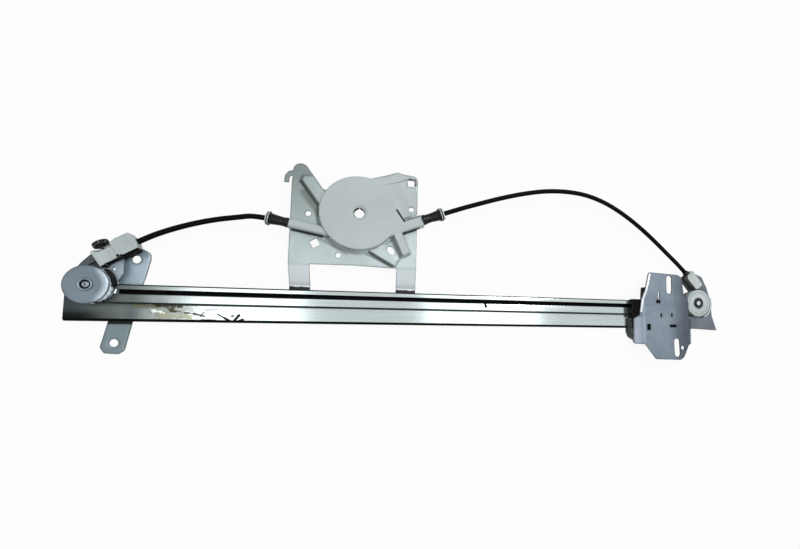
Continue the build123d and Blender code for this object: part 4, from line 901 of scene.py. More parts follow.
# %% A small node kit
class Finish:
    def __init__(self, name):
        self.material = bpy.data.materials.new(name)
        self.material.use_nodes = True
        self.tree = self.material.node_tree
        self.shader = self.tree.nodes["Principled BSDF"]
        self.place = self.tree.nodes.new("ShaderNodeTexCoord").outputs["Object"]

    def node(self, kind, **settings):
        made = self.tree.nodes.new(kind)
        for key, value in settings.items():
            setattr(made, key, value)
        return made

    def link(self, source, target):
        self.tree.links.new(source, target)

    def set(self, **numbers):
        for key, value in numbers.items():
            self.shader.inputs[key.replace("_", " ")].default_value = value

    def stretched(self, scale):
        """The object's own metres, stretched so that a pattern runs along one way."""
        made = self.node("ShaderNodeMapping")
        made.inputs["Scale"].default_value = scale
        self.link(self.place, made.inputs["Vector"])
        return made.outputs["Vector"]

    def noise(self, scale, detail=4.0, rough=0.55, place=None, distortion=0.0):
        made = self.node("ShaderNodeTexNoise")
        made.inputs["Scale"].default_value = scale
        made.inputs["Detail"].default_value = detail
        made.inputs["Roughness"].default_value = rough
        made.inputs["Distortion"].default_value = distortion
        self.link(place or self.place, made.inputs["Vector"])
        return made.outputs["Fac"]

    def span(self, value, low, high, to_low=0.0, to_high=1.0):
        """A smooth step of a value, for masks and for roughness."""
        made = self.node("ShaderNodeMapRange", interpolation_type="SMOOTHSTEP")
        for key, number in (("From Min", low), ("From Max", high), ("To Min", to_low), ("To Max", to_high)):
            made.inputs[key].default_value = number
        self.link(value, made.inputs["Value"])
        return made.outputs["Result"]

    def axis(self, letter):
        """One coordinate of the object's own metres."""
        made = self.node("ShaderNodeSeparateXYZ")
        self.link(self.place, made.inputs[0])
        return made.outputs[letter]

    def plus(self, one, other):
        return self.times(one, other, "ADD")

    def facing(self, x, y, z=0.0):
        """How much a face looks along a direction: 1 straight at it, -1 away from it."""
        made = self.node("ShaderNodeVectorMath", operation="DOT_PRODUCT")
        made.inputs[1].default_value = Vector((x, y, z)).normalized()
        self.link(self.node("ShaderNodeNewGeometry").outputs["True Normal"], made.inputs[0])
        return made.outputs["Value"]

    def near_edge(self, reach):
        """1 on a sharp edge and 0 further in, from how a rounded normal would turn there."""
        soft = self.node("ShaderNodeBevel", samples=4)
        soft.inputs["Radius"].default_value = reach * MM
        turn = self.node("ShaderNodeVectorMath", operation="DOT_PRODUCT")
        self.link(soft.outputs["Normal"], turn.inputs[0])
        self.link(self.node("ShaderNodeNewGeometry").outputs["Normal"], turn.inputs[1])
        return self.span(turn.outputs["Value"], 0.84, 0.985, 1.0, 0.0)

    def from_axis(self, at):
        """Distance in metres from an upright axis."""
        flat = self.node("ShaderNodeVectorMath", operation="MULTIPLY")
        flat.inputs[1].default_value = (1, 1, 0)
        self.link(self.place, flat.inputs[0])
        made = self.node("ShaderNodeVectorMath", operation="DISTANCE")
        made.inputs[1].default_value = (at[0] * MM, at[1] * MM, 0)
        self.link(flat.outputs[0], made.inputs[0])
        return made.outputs["Value"]

    def stroke(self, start, end, half, ragged=0.0, scale=600, soft=0.25):
        """A mark drawn from one point to another, in millimetres seen from above."""
        a, b = Vector((*start, 0)) * MM, Vector((*end, 0)) * MM
        flat = self.node("ShaderNodeVectorMath", operation="MULTIPLY")
        flat.inputs[1].default_value = (1, 1, 0)
        self.link(self.place, flat.inputs[0])
        arm = self.node("ShaderNodeVectorMath", operation="SUBTRACT")
        arm.inputs[1].default_value = a
        self.link(flat.outputs[0], arm.inputs[0])
        dot = self.node("ShaderNodeVectorMath", operation="DOT_PRODUCT")
        dot.inputs[1].default_value = (b - a) / (b - a).length_squared
        self.link(arm.outputs[0], dot.inputs[0])
        share = self.node("ShaderNodeClamp")
        self.link(dot.outputs["Value"], share.inputs[0])
        along = self.node("ShaderNodeVectorMath", operation="SCALE")
        along.inputs[0].default_value = b - a
        self.link(share.outputs[0], along.inputs["Scale"])
        gap = self.node("ShaderNodeVectorMath", operation="DISTANCE")
        self.link(arm.outputs[0], gap.inputs[0])
        self.link(along.outputs[0], gap.inputs[1])
        away = gap.outputs["Value"]
        if ragged:
            away = self.plus(away, self.times(self.plus(self.noise(scale, 4, 0.65), -0.5), ragged * MM))
        return self.span(away, (half - soft) * MM, (half + soft) * MM, 1.0, 0.0)

    def times(self, one, other, operation="MULTIPLY"):
        made = self.node("ShaderNodeMath", operation=operation)
        for socket, value in zip(made.inputs, (one, other)):
            if isinstance(value, (int, float)):
                socket.default_value = value
            else:
                self.link(value, socket)
        return made.outputs[0]

    def mix(self, amount, low, high):
        """Two colours, or links to colours, mixed by a mask."""
        made = self.node("ShaderNodeMix", data_type="RGBA")
        if isinstance(amount, (int, float)):
            made.inputs["Factor"].default_value = amount
        else:
            self.link(amount, made.inputs["Factor"])
        for socket, value in ((made.inputs[6], low), (made.inputs[7], high)):
            if isinstance(value, tuple):
                socket.default_value = (*value, 1.0)
            else:
                self.link(value, socket)
        return made.outputs[2]

    def colour(self, source):
        self.link(source, self.shader.inputs["Base Color"])

    def roughness(self, source):
        self.link(source, self.shader.inputs["Roughness"])

    def bump(self, height, distance, strength=1.0):
        """A bump in millimetres of real height."""
        made = self.node("ShaderNodeBump")
        made.inputs["Strength"].default_value = strength
        made.inputs["Distance"].default_value = distance * MM
        self.link(height, made.inputs["Height"])
        before = self.shader.inputs["Normal"].links
        if before:
            self.link(before[0].from_socket, made.inputs["Normal"])
        self.link(made.outputs["Normal"], self.shader.inputs["Normal"])


def srgb(red, green, blue):
    """A colour read as screen values from 0 to 255, in Blender's linear numbers."""
    return tuple((v / 255 / 12.92) if v <= 10 else ((v / 255 + 0.055) / 1.055) ** 2.4 for v in (red, green, blue))


# %% [markdown]
# ## Zinc, plastic and rubber
# Zinc plate is a metal with faint clouds, a rolled grain and rubbed patches
# where its roughness changes. Its cut edges have lost their zinc, and painted
# shade darkens them further, which the finish finds by itself: it darkens every
# face that stands upright. Zinc and plastic also get painted shade: a dark line
# along sharp edges, and darkening in inner corners where they meet their
# neighbours. Moulded plastic has a fine eggshell skin. Rubber is nearly black
# with dust in its grain.


# %% Materials
def cut_edge(made, tone, dark):
    """Darkens upright faces, which on these sheet parts are the sheared edges: they have lost their zinc, and the
    darkening is painted shade too.
    """
    split = made.node("ShaderNodeSeparateXYZ")
    made.link(made.node("ShaderNodeNewGeometry").outputs["True Normal"], split.inputs[0])
    flat = made.node("ShaderNodeMath", operation="ABSOLUTE")
    made.link(split.outputs["Z"], flat.inputs[0])
    return made.mix(made.span(flat.outputs[0], 0.10, 0.32), dark, tone)


def crevice(made, tone, dark, reach=4.0, amount=0.6):
    """Painted shade in inner corners, from how much of the sky a point sees."""
    near = made.node("ShaderNodeAmbientOcclusion", samples=6)
    near.inputs["Distance"].default_value = reach * MM
    open_sky = made.span(near.outputs["AO"], 0.35, 0.85, 1.0, 0.0)
    return made.mix(made.times(open_sky, amount), tone, dark)


def zinc(name, light, dark, rough=(0.30, 0.46), metallic=0.85, grain=(60, 900, 900), cloud=28,
         edge=(0.010, 0.011, 0.012), extra=None, rub=0.12, corner_shade=0.4, reach=2.0, line=0.75):
    made = Finish(name)
    clouds = made.noise(cloud, 5)
    fine = made.noise(1.0, 3, place=made.stretched(grain))
    tone = made.mix(made.span(clouds, 0.32, 0.68), dark, light)
    rubbed = made.span(made.noise(90, 4, distortion=1.2), 0.60, 0.72)
    tone = made.mix(made.times(rubbed, rub), tone, tuple(min(1, 1.25 * v) for v in light))
    if extra:
        tone = extra(made, tone)
    # Painted shade: a dark line along sharp edges.
    tone = made.mix(made.times(made.near_edge(2.0), line), tone, edge)
    made.colour(cut_edge(made, crevice(made, tone, edge, reach, corner_shade), edge))
    made.roughness(made.span(made.noise(46, 4), 0.35, 0.65, *rough))
    made.bump(fine, 0.010, 0.5)
    made.bump(made.noise(420, 3), 0.008, 0.3)
    made.set(Metallic=metallic)
    return made.material


def moulded(name, light, dark, rough=(0.40, 0.52), skin=0.02, corner_shade=(0.05, 0.05, 0.045), amount=0.6, reach=4.0,
            specks=0.35, gloss=0.5, extra=None, line=0.6):
    made = Finish(name)
    tone = made.mix(made.span(made.noise(22, 4), 0.30, 0.70), dark, light)
    flecks = made.span(made.noise(330, 4, 0.6), 0.63, 0.74)
    tone = made.mix(made.times(flecks, specks), tone, tuple(0.55 * v for v in dark))
    if extra:
        tone = extra(made, tone)
    # Painted shade: a dark line along sharp edges.
    tone = made.mix(made.times(made.near_edge(1.1), line), tone, corner_shade)
    made.colour(crevice(made, tone, corner_shade, reach, amount))
    made.roughness(made.span(made.noise(120, 3), 0.35, 0.65, *rough))
    made.bump(made.noise(1100, 2), skin, 0.45)
    made.bump(made.noise(60, 2), 0.03, 0.3)
    made.set(IOR=1.48, Specular_IOR_Level=gloss)
    return made.material


def rubber(name, tone, dust, rough=(0.42, 0.62), skin=0.03, dusty=0.5, gloss=0.2, extra=None):
    made = Finish(name)
    specks = made.span(made.noise(480, 3), 0.56, 0.74)
    colour = made.mix(made.times(specks, dusty), tone, dust)
    made.colour(extra(made, colour) if extra else colour)
    made.roughness(made.span(made.noise(150, 3), 0.35, 0.65, *rough))
    made.bump(made.noise(900, 3), skin, 0.5)
    made.set(IOR=1.5, Specular_IOR_Level=gloss)
    return made.material


BLACK = (0.002, 0.002, 0.002)
# Painted shadow lines where the cable exits meet the plate.
ARM_GAP_SHADOWS = (((42.3, -16.7), (58.0, -10.3), 0.5), ((-33.0, -24.4), (-60.5, -19.4), 0.7))
# Where the plate's bead runs under the cover, drawn there as a painted shade line.
BEAD_LINE = ((23.7, 30.2), (34.0, 35.8), (44.2, 40.4))
# Painted shadow line along the cover's lower right edge, by the right cable exit.
COVER_SHADOW_LINE = (((35.6, 5.4), (43.1, -5.2), 1.0), ((45.0, -4.4), (57.5, 0.8), 0.45))
PLATE_SHADE = (((-52.3, 19.0), (-37.4, -2.5), 2.4, 2.6, 0.75), ((-37.4, -25.3), (-11.0, -39.8), 0.8, 1.6, 0.7),
               ((7.6, -39.2), (32.5, -50.7), 0.7, 0.9, 0.75))


def plate_tone_and_painted_light(made, tone):
    """Painted shadow at the feet of the legs and in the arm gaps, painted light on the legs, painted shade on flanks
    and beside the ribs, and a duller corner at the horn.
    """
    x, y = made.axis("X"), made.axis("Y")
    # Painted light: the legs are lighter than the rest of the plate.
    tone = made.mix(made.span(y, -0.050, -0.054), tone, srgb(226, 234, 238))
    dull = made.times(made.span(y, -0.045, 0.045), made.span(x, -0.012, -0.050))
    dull = made.times(dull, made.span(made.axis("Z"), 0.0030, 0.0043, 1.0, 0.6))
    tone = made.mix(dull, tone, srgb(126, 138, 137))
    upper_right = made.times(made.span(y, -0.020, 0.006), made.span(x, -0.004, 0.012))
    tone = made.mix(upper_right, tone, srgb(182, 192, 194))
    # Painted shade on the flanks that face the lower left, strongest on the horn and the tail.
    flank = made.times(made.span(made.facing(-0.75, -0.66), 0.18, 0.5), made.span(y, -0.052, -0.049))
    horn_or_tail = made.plus(made.span(y, -0.002, 0.006), made.span(x, 0.006, 0.012))
    tone = made.mix(made.times(made.times(flank, 0.8), made.span(horn_or_tail, 0.0, 1.0, 0.35, 1.0)), tone,
                    srgb(60, 64, 58))
    marked = tone
    # Painted shade beside the ribs, and painted shadow lines in the arm gaps.
    for start, end, half, soft, share in PLATE_SHADE:
        marked = made.mix(made.times(made.stroke(start, end, half, soft=soft), share), marked, srgb(92, 98, 90))
    for start, end, half in ARM_GAP_SHADOWS:
        marked = made.mix(made.stroke(start, end, half, 0.5), marked, srgb(34, 36, 28))
    tone = made.mix(made.span(made.facing(0, 0, 1), -0.2, 0.2), tone, marked)
    # Painted shadow: a black ragged band where the legs pass under the rail.
    ragged = made.plus(y, made.times(made.noise(170, 5, 0.7), 0.004))
    return made.mix(made.span(ragged, -0.0712, -0.0700), BLACK, tone)


def cover_painted_shade(made, tone):
    """Painted shade on the cover's flanks that look to the lower left, painted shadow lines at its edge and arm gaps,
    and a painted shade line along the bead.
    """
    # Painted shade on the flanks that look to the lower left.
    flank = made.span(made.facing(-0.80, -0.60), 0.40, 0.85)
    tone = made.mix(made.times(flank, 0.55), tone, srgb(92, 98, 94))
    # Painted shadow lines, then a painted shade line along the bead.
    for start, end, half in (*COVER_SHADOW_LINE, *ARM_GAP_SHADOWS):
        tone = made.mix(made.stroke(start, end, half, 0.2), tone, srgb(9, 10, 9))
    for start, end in zip(BEAD_LINE, BEAD_LINE[1:]):
        tone = made.mix(made.times(made.stroke(start, end, 0.25), 0.55), tone, srgb(70, 75, 74))
    return tone


# Painted shadow under the left fitting's head, drawn black on the strap and the bracket.
FITTING_SHADOW = (((-199.5, -54.0), (-185.5, -45.0), 1.5), ((-209.5, -61.3), (-200.0, -55.0), 0.9))


def strap_tone_and_shadow(made, tone):
    """A black band of painted shadow just below the rail's lower edge, the painted shadow under the fitting's head,
    and a duller tab under it.
    """
    y = made.axis("Y")
    tone = made.mix(made.span(y, -0.100, -0.110), tone, srgb(116, 132, 137))
    for start, end, half in FITTING_SHADOW:
        tone = made.mix(made.stroke(start, end, half, 0.8), tone, BLACK)
    # Painted shadow: a black band just below the rail's lower edge.
    ragged = made.plus(y, made.times(made.noise(120, 4), 0.0010))
    below, above = made.span(ragged, -0.1114, -0.1108), made.span(ragged, -0.0990, -0.1010)
    return made.mix(made.times(below, above), tone, BLACK)


def disc_highlight(made, tone):
    """A painted highlight along the rim on its right side."""
    edge = made.times(made.span(made.from_axis(LEFT_AT), 0.0100, 0.0152),
                      made.span(made.axis("X"), (LEFT_AT.x + 4) * MM, (LEFT_AT.x + 12) * MM))
    return made.mix(edge, tone, srgb(176, 190, 201))


def bracket_shade(made, tone):
    """Painted shade on the bracket, on the side away from the rail, and the painted shadow under the fitting's head.
    """
    up_left = made.plus(made.axis("Y"), made.times(made.axis("X"), -0.9))
    corner = (LEFT_AT.y - 0.9 * LEFT_AT.x) * MM
    # Painted shade on the bracket's upper left.
    tone = made.mix(made.times(made.span(up_left, corner + 0.006, corner + 0.012), 0.85), tone, srgb(34, 37, 35))
    for start, end, half in FITTING_SHADOW:
        tone = made.mix(made.stroke(start, end, half, 0.8), tone, BLACK)
    return tone


def end_bracket_wear(made, tone):
    """Oil beside the right fitting."""
    return made.mix(made.times(made.stroke((366, -41), (386, -64), 5.0, 2.0, 300), 0.8), tone, srgb(58, 62, 60))


def fitting_shade(made, tone):
    """Painted shadow: the fitting's lower side and a band under its head are black."""
    side = made.span(made.facing(0.55, -0.83), 0.22, 0.45)
    tone = made.mix(made.times(side, 0.97), tone, BLACK)
    head = [tuple(on_line(TANGENT_LEFT, FIT_TILT, s, -7.6)) for s in (33.4, 49.0)]
    return made.mix(made.stroke(*head, 1.4, 0.4), tone, BLACK)


def right_fitting_shade(made, tone):
    """Painted shade on the side that faces the lower left, towards the carrier."""
    return made.mix(made.times(made.span(made.facing(-0.7, -0.7), 0.3, 0.6), 0.85), tone, srgb(70, 74, 70))


MARGIN_HIGHLIGHT = [(PARK.x + u, PARK.y + v) for u, v in ((-15.8, 46), (-19.9, 29), (-24.8, 17), (-26.0, 3))]


def carrier_tone_and_highlight(made, tone):
    """The carrier is duller and darker on the side towards the rail's end, with a painted highlight along its left
    margin and painted light on its lower left wing.
    """
    ragged_x = made.plus(made.axis("X"), made.times(made.noise(26, 4), 0.016))
    tone = made.mix(made.times(made.span(ragged_x, 0.352, 0.378), 0.9), tone, srgb(78, 86, 96))
    # Painted highlight along the left margin.
    for i in range(1, len(MARGIN_HIGHLIGHT)):
        tone = made.mix(made.times(made.stroke(MARGIN_HIGHLIGHT[i - 1], MARGIN_HIGHLIGHT[i], 0.9), 0.95), tone,
                        srgb(226, 232, 238))
    # Painted light on the lower left wing.
    wing = made.times(made.span(made.axis("X"), (PARK.x - 23) * MM, (PARK.x - 29) * MM),
                      made.span(made.axis("Y"), (PARK.y - 1) * MM, (PARK.y - 6) * MM))
    return made.mix(made.times(wing, 0.8), tone, srgb(150, 158, 170))


def flange_highlights(made, tone):
    """A painted highlight on the outer edge of the boots' flanges."""
    for side, origin, tip in (("left", EXIT_LEFT, 17.4), ("right", EXIT_RIGHT, 19.9)):
        middle = on_line(origin, ARM_TILT[side], BOOT_REACH[side] + tip)
        ends = [tuple(on_line(middle, ARM_TILT[side] + 90, off)) for off in (-5.5, 5.5)]
        tone = made.mix(made.times(made.stroke(*ends, 0.45, 0.6), 0.8), tone, srgb(196, 200, 202))
    return tone


def round_wheel(made, tone):
    """A wheel's grease ring round its pin."""
    away = made.plus(made.from_axis(RIGHT_AT), made.times(made.noise(500, 3), 0.0010))
    tone = made.mix(made.times(made.span(away, 0.0066, 0.0082, 1.0, 0.0), 0.9), tone, srgb(62, 64, 60))
    return made.mix(made.times(made.times(made.span(away, 0.0125, 0.0133), made.span(away, 0.0146, 0.0138)), 0.4),
                    tone, srgb(120, 126, 124))


def pin_tip(made, tone):
    """The pin's turned tip is bright, its shoulder greasy."""
    return made.mix(made.span(made.from_axis(RIGHT_AT), 0.0023, 0.0029), tone, srgb(50, 52, 50))


ZINC = zinc("zinc_plate", srgb(160, 174, 184), srgb(136, 150, 160))
PIN_STEEL = zinc("pin_steel", srgb(196, 206, 212), srgb(176, 188, 196), extra=pin_tip)
DISC_ZINC = zinc("disc_zinc", srgb(119, 132, 142), srgb(110, 122, 131), rough=(0.30, 0.40), rub=0.05, extra=disc_highlight)
STRAP_ZINC = zinc("strap_zinc", srgb(168, 186, 198), srgb(149, 167, 178), metallic=0.45, extra=strap_tone_and_shadow, corner_shade=0.2,
                  reach=1.5)
CARRIER_ZINC = zinc("carrier_zinc", srgb(129, 140, 151), srgb(114, 126, 138), rough=(0.32, 0.42), rub=0.06,
                    extra=carrier_tone_and_highlight)
BRACKET_STEEL = zinc("bracket_steel", srgb(176, 191, 202), srgb(157, 171, 182), rough=(0.34, 0.50), metallic=0.45,
                     extra=bracket_shade)
DARK_STEEL = zinc("oiled_steel", srgb(114, 121, 130), srgb(92, 99, 107), rough=(0.36, 0.52), metallic=0.6,
                  extra=end_bracket_wear)
PALE_SHEET = zinc("pale_sheet", srgb(190, 203, 204), srgb(177, 190, 191), rough=(0.40, 0.54), metallic=0.30,
                  extra=plate_tone_and_painted_light, rub=0.08)
COVER_PLASTIC = moulded("cover_plastic", srgb(190, 199, 200), srgb(182, 191, 192), amount=0.75, reach=3.0,
                        gloss=0.3, extra=cover_painted_shade)
PALE_PLASTIC = moulded("pale_plastic", srgb(206, 214, 214), srgb(190, 198, 198), amount=0.8)
# Painted light: the left wheel is lighter than the right one where the disc above shades it.
LEFT_WHEEL = moulded("left_wheel_plastic", srgb(240, 248, 253), srgb(226, 238, 246), amount=0.05, reach=0.8,
                     specks=0.0, line=0.3)
RIGHT_WHEEL = moulded("right_wheel_plastic", srgb(202, 211, 211), srgb(176, 186, 185), amount=0.7, specks=0.6,
                      gloss=0.3, extra=round_wheel)
FITTING_PLASTIC = moulded("fitting_plastic", srgb(186, 195, 196), srgb(168, 178, 178), amount=0.9, reach=3.0,
                          gloss=0.3, extra=fitting_shade, line=0.8)
RIGHT_FITTING = moulded("right_fitting_plastic", srgb(200, 207, 207), srgb(150, 158, 156), amount=0.8, specks=0.9,
                        gloss=0.3, extra=right_fitting_shade)
# Painted shade: a long corner reach paints the claw black under the carrier's holes.
GREY_PLASTIC = moulded("grey_plastic", srgb(90, 96, 92), srgb(68, 74, 70), corner_shade=(0.004, 0.004, 0.004), amount=0.8,
                       reach=7.0, gloss=0.06, line=0.8)
BLACK_PLASTIC = moulded("black_plastic", srgb(9, 9, 10), srgb(4, 4, 5), rough=(0.36, 0.50), gloss=0.06)
BLACK_RUBBER = rubber("black_rubber", srgb(5, 5, 6), srgb(40, 40, 42), rough=(0.20, 0.32), dusty=0.3, gloss=0.25,
                      extra=flange_highlights)
BUTTON_RUBBER = rubber("button_rubber", srgb(24, 26, 25), srgb(150, 155, 153), dusty=1.0)
CONDUIT_SKIN = rubber("conduit_skin", srgb(4, 4, 5), srgb(24, 23, 22), rough=(0.36, 0.50), skin=0.02, dusty=0.3,
                      gloss=0.06)
WIRE = zinc("cable_wire", srgb(40, 42, 42), srgb(14, 15, 15), rough=(0.40, 0.55), metallic=0.6)


STAIN = (((-186, -94.6), (-166, -95.2), 1.4, 7, srgb(96, 100, 78)),
         ((-168, -94.6), (-150, -94.8), 1.7, 8, srgb(52, 52, 34)),
         ((-162, -95.5), (-155, -99.8), 1.1, 9, srgb(58, 56, 38)),
         ((-158, -98.4), (-136, -101.6), 0.6, 5, srgb(64, 62, 44)),
         ((-171, -98.8), (-163, -101.2), 1.0, 9, srgb(214, 220, 214)),
         ((-164, -103), (-142, -105), 1.2, 12, srgb(150, 150, 126)))
BLACK_MARKS = (((-120.7, -101.3), (-115.0, -104.6), 0.6), ((-115.0, -104.6), (-109.8, -107.6), 1.0),
               ((-106.6, -106.8), (-103.2, -101.9), 1.2), ((-108.9, -102.9), (-108.0, -102.6), 0.8),
               ((-103.4, -107.5), (-99.9, -105.9), 1.2), ((-132.6, -107.2), (-122.3, -107.3), 1.2),
               ((-140.0, -101.0), (-131.0, -103.4), 0.6), ((-134.4, -103.6), (-131.6, -99.6), 0.45),
               ((-131.0, -97.6), (-121.5, -97.0), 0.3), ((129.2, -83.4), (130.4, -88.0), 1.4))


def rail_zinc():
    """Rolled zinc with painted reflections: bright in the middle, darker towards the left end and at the right end,
    with painted shade and a painted highlight at the left foot, a painted shadow along the cable, and stains near the
    left end.
    """
    made = Finish("rail_zinc")
    along_rail, across = made.axis("X"), made.axis("Y")
    grain = made.noise(1.0, 3, place=made.stretched((14, 700, 700)))
    bright = made.mix(made.span(grain, 0.35, 0.65), srgb(184, 195, 196), srgb(194, 204, 205))
    # Painted reflection: the rail darkens towards its left end, darkest at the very end.
    dull = made.mix(made.span(made.noise(34, 5), 0.3, 0.7), srgb(88, 97, 97), srgb(108, 117, 113))
    end = made.mix(made.span(made.noise(34, 5), 0.3, 0.7), srgb(50, 56, 59), srgb(64, 71, 73))
    dull = made.mix(made.span(along_rail, -0.238, -0.186), end, dull)
    # Painted shade low on the left end, and a painted highlight on its lower lip.
    foot_shade = made.times(made.span(across, -0.096, -0.1050), made.span(along_rail, -0.194, -0.226))
    dull = made.mix(foot_shade, dull, srgb(20, 23, 24))
    foot_highlight = made.times(made.span(across, -0.1066, -0.1072), made.span(along_rail, -0.185, -0.205))
    dull = made.mix(foot_highlight, dull, srgb(118, 124, 122))
    # Painted reflection: bright and less rough in the middle, darker again past the carrier.
    ragged_x = made.plus(along_rail, made.times(made.noise(30, 4), 0.05))
    bright_reflection = made.span(ragged_x, -0.165, -0.118)
    tone = made.mix(bright_reflection, dull, bright)
    tone = made.mix(made.span(ragged_x, 0.372, 0.386), tone, srgb(112, 118, 128))
    patch = made.times(made.span(along_rail, -0.184, -0.166), made.span(along_rail, -0.128, -0.146))
    low_half = made.span(across, -0.091, -0.093)
    stain = made.times(made.times(patch, low_half), made.span(made.noise(110, 6, 0.65, distortion=2), 0.44, 0.56))
    marked = made.mix(made.times(stain, 0.5), tone, srgb(112, 112, 88))
    for start, end, half, ragged, shade in STAIN:
        marked = made.mix(made.times(made.stroke(start, end, half, ragged, 240), 0.9), marked, shade)
    # Painted shadow of the cable along its run.
    cable_shadow = made.stroke((-200, RUN_Y + 0.2), (345, RUN_Y + 0.2), 0.8)
    marked = made.mix(made.times(cable_shadow, 0.9), marked, srgb(26, 26, 24))
    for start, end, half in BLACK_MARKS:
        marked = made.mix(made.stroke(start, end, half, 1.0), marked, BLACK)
    made.colour(made.mix(made.span(made.facing(0, 0, 1), -0.2, 0.2), tone, marked))
    made.roughness(made.span(bright_reflection, 0.0, 1.0, 0.42, 0.13))
    made.bump(grain, 0.005, 0.3)
    made.set(Metallic=0.9)
    return made.material


def rail_black_shade():
    """Black painted shade, for the rail's channel and its top and bottom edges."""
    made = Finish("channel_black_shade")
    made.colour(made.mix(made.span(made.noise(160, 5), 0.3, 0.7), (0.001, 0.001, 0.001), (0.004, 0.004, 0.004)))
    made.roughness(made.span(made.noise(90, 3), 0.3, 0.7, 0.5, 0.7))
    made.bump(made.noise(260, 3), 0.10, 0.5)
    made.set(Specular_IOR_Level=0.05)
    return made.material


RAIL_ZINC, RAIL_BLACK_SHADE = rail_zinc(), rail_black_shade()
print("materials:", len(bpy.data.materials))

# %% Give every part its finish
FINISH_OF = {
    "housing_screws": ZINC, "rail_rivets": ZINC, "right_axle": PIN_STEEL,
    "left_pulley_bracket": BRACKET_STEEL, "right_end_bracket": DARK_STEEL,
    "right_cable_fitting": RIGHT_FITTING, "right_pulley_guard": PALE_PLASTIC,
    "left_conduit_ring": PALE_PLASTIC, "right_conduit_ring": PALE_PLASTIC,
    "left_cable_guard": BLACK_PLASTIC, "cable_drum": BLACK_PLASTIC, "carrier_slider": BLACK_PLASTIC,
    "right_conduit_sleeve": BLACK_RUBBER, "left_inner_cable": WIRE, "right_inner_cable": WIRE,
    "left_tension_spring": WIRE, "right_tension_spring": WIRE, "drum_windings": WIRE,
    "cable_nipples": WIRE,
}


def paint(obj, *materials):
    obj.data.materials.clear()
    for material in materials:
        obj.data.materials.append(material)


for node, material in FINISH_OF.items():
    paint(NODES[node], material)

PIECES = ((rail, RAIL_ZINC, "rail_steel"), (left_conduit, CONDUIT_SKIN, "black_plastic"),
          (right_conduit, CONDUIT_SKIN, "black_plastic"), (drive_plate, PALE_SHEET, "pale_sheet"),
          (pilot_collar, PALE_SHEET, "pale_sheet"), (drum_cover, COVER_PLASTIC, "pale_plastic"),
          (left_strap, STRAP_ZINC, "zinc_steel"), (left_disc, DISC_ZINC, "zinc_steel"),
          (left_rivet, ZINC, "zinc_steel"), (left_wheel, LEFT_WHEEL, "pale_plastic"),
          (left_fitting, FITTING_PLASTIC, "pale_plastic"), (button, BUTTON_RUBBER, "black_rubber"),
          (left_boot, BLACK_RUBBER, "black_rubber"), (right_boot, BLACK_RUBBER, "black_rubber"),
          (right_wheel, RIGHT_WHEEL, "pale_plastic"), (carrier, CARRIER_ZINC, "zinc_steel"),
          (claw, GREY_PLASTIC, "grey_plastic"))
for obj, material, slot in PIECES:
    paint(obj, material)

# The left fitting's walls that look to the lower right get the black painted shade too.
left_fitting.data.materials.append(RAIL_BLACK_SHADE)
for face in left_fitting.data.polygons:
    if 0.55 * face.normal.x - 0.83 * face.normal.y > 0.5:
        face.material_index = 1
# The rail's channel and its top and bottom edges get the black painted shade.
rail.data.materials.append(RAIL_BLACK_SHADE)
for face in rail.data.polygons:
    y, z = face.center.y / MM, face.center.z / MM
    in_channel = RAIL_STEP_Y - 0.1 < y < RAIL_HIGH.y - 1.4 and RAIL_LOW.z + 1.4 < z < RAIL_HIGH.z - 1.2
    foot_edge = y < RAIL_LOW.y + 2.4 and face.normal.y < -0.12
    top_edge = y > RAIL_HIGH.y - 1.3 and face.normal.y > 0.15
    if in_channel or foot_edge or top_edge:
        face.material_index = 1
print("painted:", len(FINISH_OF), "nodes,", len(PIECES), "pieces")

# %% [markdown]
# ## Table, light and background
# The part lies on a pale table. Two soft boxes stand above it, one on each side
# of the camera, and polished zinc shows them as two bright stretches with a
# greyer one between. A third, high on the right, draws thin shadows. The room is
# bright overhead and to the right, dim at the horizon and to the left, so every
# flank that faces the left turns dark. Polished metal also shows the white
# background itself, most of all straight above.

# %% Table
TABLE_DROP = 0.6


def make_table():
    z = (RAIL_LOW.z - SHEET_MM - TABLE_DROP) * MM
    mesh = bpy.data.meshes.new("table")
    mesh.from_pydata([(-6, -6, z), (6, -6, z), (6, 6, z), (-6, 6, z)], [], [(0, 1, 2, 3)])
    table = bpy.data.objects.new("table", mesh)
    bpy.context.scene.collection.objects.link(table)
    made = Finish("table_white")
    made.colour(made.mix(made.span(made.noise(3, 3), 0.3, 0.7), (0.80, 0.81, 0.81), (0.84, 0.85, 0.85)))
    made.set(Roughness=0.7)
    glow = made.node("ShaderNodeEmission")
    glow.inputs["Color"].default_value = (1, 1, 1, 1)
    rays = made.node("ShaderNodeLightPath")
    seen = made.node("ShaderNodeMath", operation="MAXIMUM")
    made.link(rays.outputs["Is Camera Ray"], seen.inputs[0])
    made.link(rays.outputs["Is Transmission Ray"], seen.inputs[1])
    also = made.node("ShaderNodeMath", operation="MAXIMUM")
    made.link(seen.outputs[0], also.inputs[0])
    made.link(rays.outputs["Is Glossy Ray"], also.inputs[1])
    share = made.node("ShaderNodeMixShader")
    made.link(made.times(also.outputs[0], 0.93), share.inputs[0])
    made.link(made.shader.outputs[0], share.inputs[1])
    made.link(glow.outputs[0], share.inputs[2])
    side = made.node("ShaderNodeMixShader")
    made.link(made.node("ShaderNodeNewGeometry").outputs["Backfacing"], side.inputs[0])
    made.link(share.outputs[0], side.inputs[1])
    made.link(made.node("ShaderNodeBsdfTransparent").outputs[0], side.inputs[2])
    made.link(side.outputs[0], made.tree.nodes["Material Output"].inputs["Surface"])
    mesh.materials.append(made.material)
    return table


